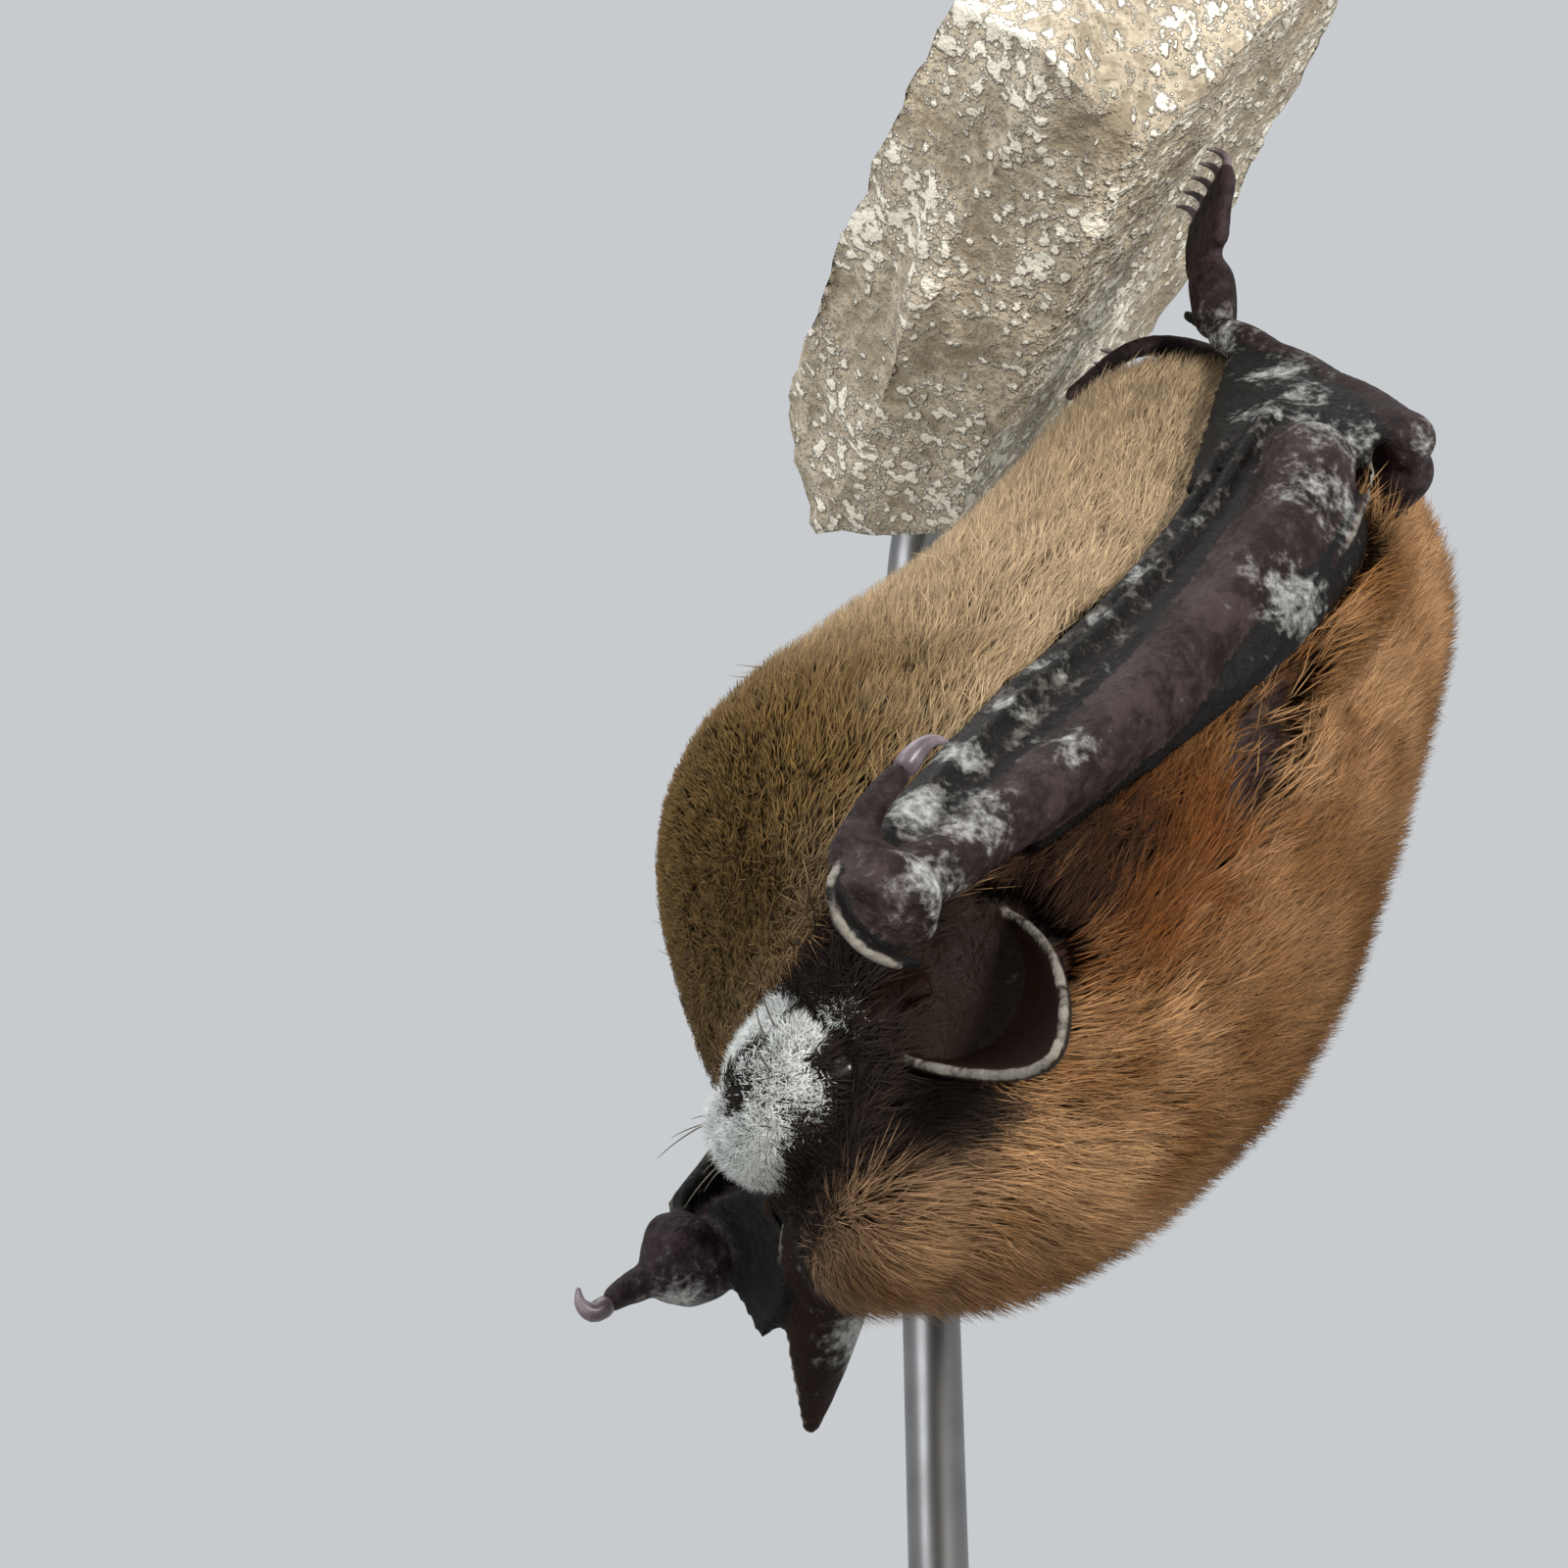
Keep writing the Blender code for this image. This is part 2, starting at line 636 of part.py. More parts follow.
def stand_rod(collection):
    """The bent rod as a bevelled curve, turned into a mesh with welded caps."""
    curve = bpy.data.curves.new("stand_rod", "CURVE")
    curve.dimensions = "3D"
    curve.bevel_depth = ROD_RADIUS
    curve.bevel_resolution = 3
    curve.use_fill_caps = True
    path = curve.splines.new("POLY")
    points = rod_route()
    path.points.add(len(points) - 1)
    for point, place in zip(path.points, points):
        point.co = (*place, 1.0)
    guide = new_object("stand_rod_curve", curve, collection)
    graph = bpy.context.evaluated_depsgraph_get()
    mesh = bpy.data.meshes.new_from_object(guide.evaluated_get(graph))
    bpy.data.objects.remove(guide)
    bpy.data.curves.remove(curve)
    bm = bmesh.new()
    bm.from_mesh(mesh)
    bmesh.ops.remove_doubles(bm, verts=bm.verts, dist=0.01 * MM)
    face_outwards(bm)
    bm.to_mesh(mesh)
    bm.free()
    return new_object("stand_rod", mesh, collection)


def stand_base(collection):
    """A flat round base with a softened upper edge."""
    bm = bmesh.new()
    bmesh.ops.create_cone(
        bm, cap_ends=True, segments=32, radius1=BASE_RADIUS, radius2=BASE_RADIUS, depth=BASE_HEIGHT
    )
    bmesh.ops.translate(bm, verts=bm.verts, vec=(0.0, 0.0, 0.5 * BASE_HEIGHT))
    rim = [e for e in bm.edges if all(v.co.z > 0.9 * BASE_HEIGHT for v in e.verts)]
    bmesh.ops.bevel(bm, geom=rim, offset=1.6 * MM, segments=2, profile=0.5, affect="EDGES")
    mesh = bpy.data.meshes.new("stand_base")
    bm.to_mesh(mesh)
    bm.free()
    return new_object("stand_base", mesh, collection)


# Finishes -----------------------------------------------------------------------------------------
FINISHES = {                         # linear colour, roughness, metallic
    "fur_back": ((0.25, 0.12, 0.05), 0.85, 0.0),
    "fur_face": ((0.06, 0.04, 0.035), 0.8, 0.0),
    "wing_skin": ((0.05, 0.035, 0.035), 0.6, 0.0),
    "ear_skin": ((0.04, 0.025, 0.018), 0.6, 0.0),
    "eye": ((0.01, 0.01, 0.01), 0.1, 0.0),
    "rock": ((0.4, 0.35, 0.27), 0.85, 0.0),
    "steel": ((0.45, 0.45, 0.45), 0.35, 1.0),
    "base_paint": ((0.03, 0.03, 0.032), 0.45, 0.0),
}
FINISH_OF = {
    "trunk": "fur_back", "neck": "fur_back", "head": "fur_face", "ear": "ear_skin",
    "tragus": "ear_skin", "eye": "eye", "thigh": "fur_back", "perch": "rock",
    "stand_rod": "steel", "stand_base": "base_paint",
}


def finish(name):
    """One Principled material for one object."""
    colour, roughness, metallic = FINISHES[name]
    material = bpy.data.materials.new(name)
    material.use_nodes = True
    shader = material.node_tree.nodes["Principled BSDF"]
    shader.inputs["Base Color"].default_value = (*colour, 1.0)
    shader.inputs["Roughness"].default_value = roughness
    shader.inputs["Metallic"].default_value = metallic
    material.diffuse_color = (*colour, 1.0)
    return material


def dress(collection):
    """Give every object its finish and soft shading."""
    materials = {name: finish(name) for name in FINISHES}
    for obj in collection.objects:
        if obj.type != "MESH":
            continue
        key = next((k for k in FINISH_OF if obj.name.startswith(k)), None)
        obj.data.materials.clear()
        obj.data.materials.append(materials[FINISH_OF.get(key, "wing_skin")])
        obj.data.shade_smooth()
        obj.data.set_sharp_from_angle(angle=math.radians(40.0))


# Assembly -----------------------------------------------------------------------------------------
def clear_scene():
    """Start from an empty file."""
    for obj in list(bpy.data.objects):
        bpy.data.objects.remove(obj, do_unlink=True)


def cut_plane(station):
    """Point and normal of one of the two thin cuts that part the body."""
    along, tilt = station
    normal = (CRANIAL * math.cos(tilt) + VENTRAL * math.sin(tilt)).normalized()
    return body_point(along, -14.5, 0.0), normal


def part_body(whole, collection):
    """Split the furred body into trunk, neck and head by two thin cuts."""
    neck_point, neck_normal = cut_plane(NECK_CUT)
    head_place, head_normal = cut_plane(HEAD_CUT)
    half = 0.5 * GAP
    trunk = side_of_plane(whole, "trunk", neck_point - neck_normal * half, -neck_normal, collection)
    front = side_of_plane(whole, "front", neck_point + neck_normal * half, neck_normal, collection)
    neck = side_of_plane(front, "neck", head_place - head_normal * half, -head_normal, collection)
    head = side_of_plane(front, "head", head_place + head_normal * half, head_normal, collection)
    for scrap in (whole, front):
        bpy.data.objects.remove(scrap)
    return trunk, neck, head


def main():
    """Build the bat, its piece of rock and the stand."""
    clear_scene()
    parts = bpy.data.collections.new(MODEL_NAME)
    cutters = bpy.data.collections.new("cutters")
    bpy.context.scene.collection.children.link(parts)
    bpy.context.scene.collection.children.link(cutters)

    whole = fuse(furred_body(parts), [face(parts)])
    trunk, neck, head = part_body(whole, parts)

    ears, eyes, small = [], [], []
    for side, sign in SIDES:
        ears.append(ear("ear_" + side, sign, parts))
        small.append(tragus("tragus_" + side, sign, parts))
        eyes.append(
            shaped_sphere(
                "eye_" + side, 8, 6,
                lambda ring, turn, s=sign: head_point(EYE_PLACE[0], EYE_PLACE[1], s * EYE_PLACE[2])
                + Vector((
                    math.sin(math.pi * ring / 6) * math.cos(turn),
                    math.sin(math.pi * ring / 6) * math.sin(turn),
                    -math.cos(math.pi * ring / 6),
                )) * EYE_RADIUS,
                parts,
            )
        )

    hollows = [ear_hollow(e, cutters) for e in ears]
    limbs, webs = [], []
    for side, sign in SIDES:
        arm = wing(side, sign, parts, cutters)
        bones, web = leg(side, sign, parts, cutters)
        carve(arm[5], hollows, cutters)
        carve(web, bones + arm[:2] + arm[4:5], cutters)
        carve(bones[0], [arm[1]], cutters)
        limbs += arm + bones
        webs.append(web)
    curl = tail(parts)
    skirts = [tail_web(side, sign, parts) for side, sign in SIDES]
    for skirt in skirts:
        carve(skirt, [curl] + [o for o in limbs if o.name.startswith(("shin", "foot"))], cutters)

    carve(head, hollows + small + eyes, cutters)
    carve(neck, hollows + [o for o in limbs if o.name.startswith(("forearm", "arm_web", "folded"))], cutters)
    carve(trunk, limbs + webs + [curl] + skirts, cutters)

    rod = stand_rod(parts)
    for seat in (perch_rock(parts), stand_base(parts)):
        carve(seat, [rod], cutters, ROD_CLEARANCE)
    dress(parts)


if __name__ == "__main__":
    main()
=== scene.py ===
"""Looks of a torpid little brown bat that hangs head down from a piece of rock on a display stand.

The bat is one skin, grown together from its trunk, head, limbs, wing skins and ears, and carries
a coat of fine solid tufts.  Eyes, claws, whiskers and the fungal bloom are pieces of their own.
"""

import logging
import math
from dataclasses import dataclass, field
from enum import Enum
from typing import Any, Callable, Sequence

import bmesh
import bpy
import numpy as np
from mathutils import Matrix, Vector, noise
from mathutils.bvhtree import BVHTree
from mathutils.kdtree import KDTree


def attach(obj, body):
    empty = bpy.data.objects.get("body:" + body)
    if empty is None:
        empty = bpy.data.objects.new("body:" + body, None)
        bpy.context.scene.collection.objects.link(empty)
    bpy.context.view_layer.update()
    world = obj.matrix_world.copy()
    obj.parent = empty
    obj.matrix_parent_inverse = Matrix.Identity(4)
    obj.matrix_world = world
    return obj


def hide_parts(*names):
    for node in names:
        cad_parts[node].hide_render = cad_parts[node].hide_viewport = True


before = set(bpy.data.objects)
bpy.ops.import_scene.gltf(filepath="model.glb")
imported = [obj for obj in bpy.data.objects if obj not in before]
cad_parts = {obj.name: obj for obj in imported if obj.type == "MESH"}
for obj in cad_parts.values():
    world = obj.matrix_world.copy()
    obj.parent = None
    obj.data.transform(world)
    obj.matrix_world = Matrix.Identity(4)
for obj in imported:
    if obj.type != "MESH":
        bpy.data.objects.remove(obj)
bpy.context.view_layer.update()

LOG = logging.getLogger("bat")
MM = 0.001
BODY = "root"
SIDES = {"left": 1.0, "right": -1.0}
Point = tuple[float, float, float]
Place = Callable[[int, float], np.ndarray]

# The bat's own axes --------------------------------------------------------------------------
BODY_TILT = math.radians(34.5)
HEAD_FLEXION = math.radians(35.0)
GRIP = np.array((6.0, 0.0, 134.0))
CRANIAL = np.array((-math.sin(BODY_TILT), 0.0, -math.cos(BODY_TILT)))
VENTRAL = np.array((-math.cos(BODY_TILT), 0.0, math.sin(BODY_TILT)))
LEFT = np.array((0.0, 1.0, 0.0))
HEAD_CENTRE = (47.8, -16.6)

# Outer form of the furred body: distance from the feet, back, belly, half width.
BODY_STATIONS = (
    (3.4, -12.5, -12.5, 0.0), (3.9, -15.9, -8.2, 3.0), (6.0, -19.5, -4.4, 5.0),
    (10.0, -22.5, -2.1, 7.0), (18.0, -25.1, -2.4, 9.6), (27.0, -27.6, -2.4, 11.3),
    (35.0, -29.1, -1.4, 12.1), (41.5, -28.6, -1.2, 11.9), (46.3, -27.6, -5.6, 10.6),
    (49.8, -26.2, -11.2, 8.6), (52.8, -24.2, -15.4, 6.4), (54.9, -21.9, -17.6, 3.6),
    (55.7, -19.8, -19.8, 0.0),
)
# Outer form of the face along the head's axis: position, top, underside, half width.
HEAD_STATIONS = (
    (-5.0, 0.0, 0.0, 0.0), (-4.0, 3.6, -3.2, 3.8), (-1.0, 5.5, -4.3, 5.4), (2.0, 5.5, -4.3, 5.3),
    (4.0, 4.3, -3.9, 4.6), (5.3, 3.1, -3.4, 3.8), (6.4, 2.3, -2.7, 3.1), (7.2, 1.4, -1.9, 2.2),
    (7.5, -0.2, -0.2, 0.0),
)
EYE_PLACE = (4.0, 1.0, 4.15)
ELBOW = (16.6, -13.3, 12.1)
KNEE = (15.0, -17.3, 13.6)
ANKLE = (7.6, -5.8, 6.1)


def body_point(a: float, v: float, s: float) -> np.ndarray:
    """World place of body coordinates: towards the head, towards the belly, to the left."""
    return (GRIP + CRANIAL * a + VENTRAL * v + LEFT * s) * MM


def head_point(h: float, n: float, s: float) -> np.ndarray:
    """World place of head coordinates: towards the nose, towards the crown, to the left."""
    cos, sin = math.cos(HEAD_FLEXION), math.sin(HEAD_FLEXION)
    return body_point(HEAD_CENTRE[0] + cos * h + sin * n, HEAD_CENTRE[1] + sin * h - cos * n, s)


def body_coordinates(points: np.ndarray) -> tuple[np.ndarray, np.ndarray, np.ndarray]:
    """Body coordinates, in millimetres, of an array of world points."""
    rel = points / MM - GRIP
    return rel @ CRANIAL, rel @ VENTRAL, rel @ LEFT


def head_coordinates(points: np.ndarray) -> tuple[np.ndarray, np.ndarray, np.ndarray]:
    """Head coordinates, in millimetres, of an array of world points.

    Args:
        points: world places, one a row.

    Returns:
        Places towards the nose, towards the crown and to the left.
    """
    a, v, s = body_coordinates(points)
    cos, sin = math.cos(HEAD_FLEXION), math.sin(HEAD_FLEXION)
    da, dv = a - HEAD_CENTRE[0], v - HEAD_CENTRE[1]
    return cos * da + sin * dv, sin * da - cos * dv, s


def spline(rows: Sequence[Sequence[float]], t: float) -> np.ndarray:
    """Read a smooth curve through rows of numbers.

    Args:
        rows: the rows, one per station.
        t: 0 at the first row and 1 at the last.

    Returns:
        The row of numbers at t.
    """
    table = np.asarray(rows, float)
    spans = len(table) - 1
    span = min(int(t * spans), spans - 1)
    x = t * spans - span
    before, start = table[max(span - 1, 0)], table[span]
    end, after = table[span + 1], table[min(span + 2, spans)]
    return (
        (-0.5 * x + x * x - 0.5 * x ** 3) * before
        + (1.0 - 2.5 * x * x + 1.5 * x ** 3) * start
        + (0.5 * x + 2.0 * x * x - 1.5 * x ** 3) * end
        + (-0.5 * x * x + 0.5 * x ** 3) * after
    )


def hill(distance: Any, width: float) -> Any:
    """A soft hill: 1 at distance 0, falling away over the width."""
    return np.exp(-((distance / width) ** 2))


def ramp(value: Any, low: float, high: float) -> Any:
    """A smooth step from 0 at low to 1 at high."""
    t = np.clip((value - low) / (high - low), 0.0, 1.0)
    return t * t * (3.0 - 2.0 * t)


# Mesh helpers -----------------------------------------------------------------------------------
def face_outwards(bm: bmesh.types.BMesh) -> None:
    """Turn every face of a closed body outwards.

    Args:
        bm: the closed body.
    """
    bmesh.ops.recalc_face_normals(bm, faces=bm.faces)
    if bm.calc_volume(signed=True) < 0.0:
        bmesh.ops.reverse_faces(bm, faces=bm.faces)


def link_mesh(name: str, bm: bmesh.types.BMesh, smooth: bool = True) -> bpy.types.Object:
    """Make an object at the origin from a bmesh and free the bmesh.

    Args:
        name: the object's name.
        bm: the shape.
        smooth: whether its faces are shaded smooth.

    Returns:
        The object.
    """
    mesh = bpy.data.meshes.new(name)
    bm.to_mesh(mesh)
    bm.free()
    if smooth:
        mesh.shade_smooth()
    obj = bpy.data.objects.new(name, mesh)
    bpy.context.scene.collection.objects.link(obj)
    return obj


def add_ball(bm: bmesh.types.BMesh, segments: int, rings: int, place: Place) -> None:
    """Add a ball whose vertices go to place(ring number, turn in radians).

    Args:
        bm: the bmesh that takes it.
        segments: corners of each ring.
        rings: rings between the poles.
        place: gives the point of a ring and a turn.
    """
    made = bmesh.ops.create_uvsphere(bm, u_segments=segments, v_segments=rings, radius=1.0)
    for vert in made["verts"]:
        ring = rings * math.acos(max(-1.0, min(1.0, -vert.co.z))) / math.pi
        vert.co = place(round(ring), math.atan2(vert.co.y, vert.co.x))


def add_tube(
    bm: bmesh.types.BMesh, points: Sequence[np.ndarray], radii: Sequence[float],
    sides: int = 14, spans: int = 16, flat: float = 1.0, swell: Callable[[float, float], float] | None = None,
) -> None:
    """Add a round-ended limb along a smooth curve.

    Args:
        bm: the bmesh that takes it.
        points: world points of the centre line.
        radii: half widths along it, in millimetres.
        sides: corners of its section.
        spans: rings between its round ends.
        flat: how thick it is for its width.
        swell: factor on the radius for a place along it (0 to 1) and a turn.
    """
    cap, fine = 3, 60
    rings = spans + 2 * cap
    trail = np.array([spline(points, i / fine) for i in range(fine + 1)])
    steps = np.linalg.norm(np.diff(trail, axis=0), axis=1)
    reach = np.concatenate(([0.0], np.cumsum(steps)))
    length = reach[-1]
    first, last = radii[0] * MM, length - radii[-1] * MM

    def place(ring: int, turn: float) -> np.ndarray:
        """Point of the limb's skin.

        Args:
            ring: number of the ring.
            turn: angle round it, in radians.

        Returns:
            The world point.
        """
        if ring <= cap:
            angle = 0.5 * math.pi * ring / cap
            distance, scale = first * (1.0 - math.cos(angle)), math.sin(angle)
        elif ring >= rings - cap:
            angle = 0.5 * math.pi * (rings - ring) / cap
            distance, scale = length - (length - last) * (1.0 - math.cos(angle)), math.sin(angle)
        else:
            distance, scale = first + (last - first) * (ring - cap) / spans, 1.0
        t = float(np.interp(distance, reach, np.linspace(0.0, 1.0, fine + 1)))
        centre = spline(points, t)
        ahead = spline(points, min(t + 0.01, 1.0)) - spline(points, max(t - 0.01, 0.0))
        ahead /= np.linalg.norm(ahead)
        across = LEFT - ahead * (LEFT @ ahead)
        across /= max(np.linalg.norm(across), 1e-6)
        radius = float(spline([(r,) for r in radii], t)[0]) * MM * scale
        if swell is not None:
            radius *= swell(t, turn)
        return centre + (across * math.cos(turn) + np.cross(ahead, across) * flat * math.sin(turn)) * radius

    add_ball(bm, sides, rings, place)


def add_sheet(
    bm: bmesh.types.BMesh, columns: int, rows: int,
    place: Callable[[float, float], np.ndarray], thickness: float,
) -> None:
    """Add a thin closed sheet whose grid goes to place(across -1 to 1, along 0 to 1).

    Args:
        bm: the bmesh that takes it.
        columns: cells across.
        rows: cells along.
        place: gives the point for a place across and along.
        thickness: how thick it is, in metres.
    """
    sheet = bmesh.new()
    bmesh.ops.create_grid(sheet, x_segments=columns, y_segments=rows, size=1.0)
    for vert in sheet.verts:
        vert.co = place(vert.co.x, 0.5 * (vert.co.y + 1.0))
    sheet.normal_update()
    for vert in sheet.verts:
        vert.co = vert.co + vert.normal * (0.5 * thickness)
    bmesh.ops.solidify(sheet, geom=sheet.faces, thickness=thickness)
    face_outwards(sheet)
    mesh = bpy.data.meshes.new("sheet")
    sheet.to_mesh(mesh)
    sheet.free()
    bm.from_mesh(mesh)
    bpy.data.meshes.remove(mesh)


def hand_over(obj: bpy.types.Object, slot: str, *nodes: str) -> bpy.types.Object:
    """Ride a piece on the model and hide the solids that it stands for.

    Args:
        obj: the mesh object.
        slot: not used.
        *nodes: names of the solids it replaces.

    Returns:
        The object.
    """
    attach(obj, BODY)
    if nodes:
        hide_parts(*nodes)
    LOG.info("%s: %d faces", obj.name, len(obj.data.polygons))
    return obj


# Shader maths -----------------------------------------------------------------------------------
class Sock:
    """A number on its way through a shader; operators add Math nodes."""

    def __init__(self, shader: "Shader", socket: bpy.types.NodeSocket) -> None:
        """Wrap an output socket."""
        self.shader, self.socket = shader, socket

    def _math(self, operation: str, *values: Any) -> "Sock":
        """Add one Math node."""
        return self.shader.math(operation, *values)

    def __add__(self, other: Any) -> "Sock":
        """self + other"""
        return self._math("ADD", self, other)

    __radd__ = __add__

    def __sub__(self, other: Any) -> "Sock":
        """self - other"""
        return self._math("SUBTRACT", self, other)

    def __rsub__(self, other: Any) -> "Sock":
        """other - self"""
        return self._math("SUBTRACT", other, self)

    def __mul__(self, other: Any) -> "Sock":
        """self * other"""
        return self._math("MULTIPLY", self, other)

    __rmul__ = __mul__

    def __truediv__(self, other: Any) -> "Sock":
        """self / other"""
        return self._math("DIVIDE", self, other)

    def __rtruediv__(self, other: Any) -> "Sock":
        """other / self"""
        return self._math("DIVIDE", other, self)

    def __pow__(self, other: Any) -> "Sock":
        """self to a power"""
        return self._math("POWER", self, other)

    def __neg__(self) -> "Sock":
        """-self"""
        return self._math("MULTIPLY", self, -1.0)

    def __abs__(self) -> "Sock":
        """Size without sign."""
        return self._math("ABSOLUTE", self)

    def high(self, other: Any) -> "Sock":
        """The larger of two."""
        return self._math("MAXIMUM", self, other)

    def low(self, other: Any) -> "Sock":
        """The smaller of two."""
        return self._math("MINIMUM", self, other)

    def step(self, low: float, high: float) -> "Sock":
        """Smooth step from 0 at low to 1 at high.

        Args:
            low: where it is 0.
            high: where it is 1.

        Returns:
            The value.
        """
        settings = {"interpolation_type": "SMOOTHSTEP"}
        outs = self.shader.node("ShaderNodeMapRange", settings, {0: self, 1: low, 2: high})
        return Sock(self.shader, outs[0])

    def hill(self, width: float) -> "Sock":
        """Soft hill round zero."""
        return self._math("EXPONENT", -((self / width) ** 2.0))


class Shader:
    """Builds one procedural material."""

    def __init__(self, name: str) -> None:
        """Start from a bare Principled material.

        Args:
            name: the material's name.
        """
        self.material = bpy.data.materials.new(name)
        self.material.use_nodes = True
        self.tree = self.material.node_tree
        self.surface = self.tree.nodes["Principled BSDF"]

    def node(self, kind: str, settings: dict[str, Any], inputs: dict[Any, Any]) -> Any:
        """Add a node.

        Args:
            kind: the node's type.
            settings: its properties, set before its sockets.
            inputs: values, colours or links by socket name or number.

        Returns:
            The node's outputs.
        """
        made = self.tree.nodes.new(kind)
        for key, value in settings.items():
            setattr(made, key, value)
        for key, value in inputs.items():
            self.feed(made.inputs[key], value)
        return made.outputs

    def feed(self, socket: bpy.types.NodeSocket, value: Any) -> None:
        """Link a socket or set its value.

        Args:
            socket: the socket that is fed.
            value: a number, colour or socket.
        """
        if isinstance(value, Sock):
            value = value.socket
        if isinstance(value, bpy.types.NodeSocket):
            self.tree.links.new(value, socket)
        elif socket.type == "RGBA" and len(value) == 3:
            socket.default_value = (*value, 1.0)
        else:
            socket.default_value = value

    def math(self, operation: str, *values: Any) -> Sock:
        """Add a Math node on values."""
        outs = self.node("ShaderNodeMath", {"operation": operation}, dict(enumerate(values)))
        return Sock(self, outs[0])

    def attribute(self, name: str) -> Sock:
        """Read a number stored on the mesh."""
        outs = self.node("ShaderNodeAttribute", {"attribute_name": name}, {})
        return Sock(self, outs["Fac"])

    def place(self) -> Any:
        """Object coordinates."""
        return self.node("ShaderNodeTexCoord", {}, {})["Object"]

    def stored_place(self, name: str) -> Any:
        """A place stored on the mesh."""
        return self.node("ShaderNodeAttribute", {"attribute_name": name}, {})["Vector"]

    def vector(self, operation: str, first: Any, second: Any) -> Any:
        """Add a Vector Math node and give its vector."""
        return self.node("ShaderNodeVectorMath", {"operation": operation}, {0: first, 1: second})[0]

    def dot(self, first: Any, second: Any) -> Sock:
        """Dot product of two vectors."""
        outs = self.node("ShaderNodeVectorMath", {"operation": "DOT_PRODUCT"}, {0: first, 1: second})
        return Sock(self, outs["Value"])

    def mix(self, factor: Any, first: Any, second: Any) -> Any:
        """Blend two colours."""
        outs = self.node("ShaderNodeMix", {"data_type": "RGBA"}, {0: factor, 6: first, 7: second})
        return outs[2]

    def scale_colour(self, colour: Any, factor: Sock) -> Any:
        """Brighten or darken a colour."""
        return self.node("ShaderNodeVectorMath", {"operation": "SCALE"}, {0: colour, "Scale": factor})[0]

    def noise(self, place: Any, scale: float, detail: float = 2.0, roughness: float = 0.5) -> Sock:
        """Fractal noise from 0 to 1.

        Args:
            place: the coordinates.
            scale: how fine it is.
            detail: octaves of detail.
            roughness: weight of each finer octave.

        Returns:
            The value.
        """
        outs = self.node(
            "ShaderNodeTexNoise", {},
            {"Vector": place, "Scale": scale, "Detail": detail, "Roughness": roughness},
        )
        return Sock(self, outs["Fac"])

    def cells(self, place: Any, scale: float, feature: str = "F1") -> Sock:
        """Distance to the nearest of many scattered points."""
        outs = self.node("ShaderNodeTexVoronoi", {"feature": feature}, {"Vector": place, "Scale": scale})
        return Sock(self, outs["Distance"])

    def bump(self, height: Sock, distance: float, strength: float = 1.0) -> None:
        """Send a height through a Bump node into the surface's normal."""
        outs = self.node("ShaderNodeBump", {}, {"Height": height, "Distance": distance, "Strength": strength})
        self.feed(self.surface.inputs["Normal"], outs[0])

    def finish(self, **values: Any) -> bpy.types.Material:
        """Set the surface's sockets, with spaces for underscores, and give the material.

        Args:
            **values: its inputs.

        Returns:
            The material.
        """
        for key, value in values.items():
            self.feed(self.surface.inputs[key.replace("_", " ")], value)
        return self.material


def srgb(red: float, green: float, blue: float) -> Point:
    """Linear colour from screen values out of 255.

    Args:
        red: red, 0 to 255.
        green: green, 0 to 255.
        blue: blue, 0 to 255.

    Returns:
        The linear colour.
    """
    return tuple(
        c / 12.92 if c <= 0.04045 else ((c + 0.055) / 1.055) ** 2.4
        for c in (red / 255.0, green / 255.0, blue / 255.0)
    )


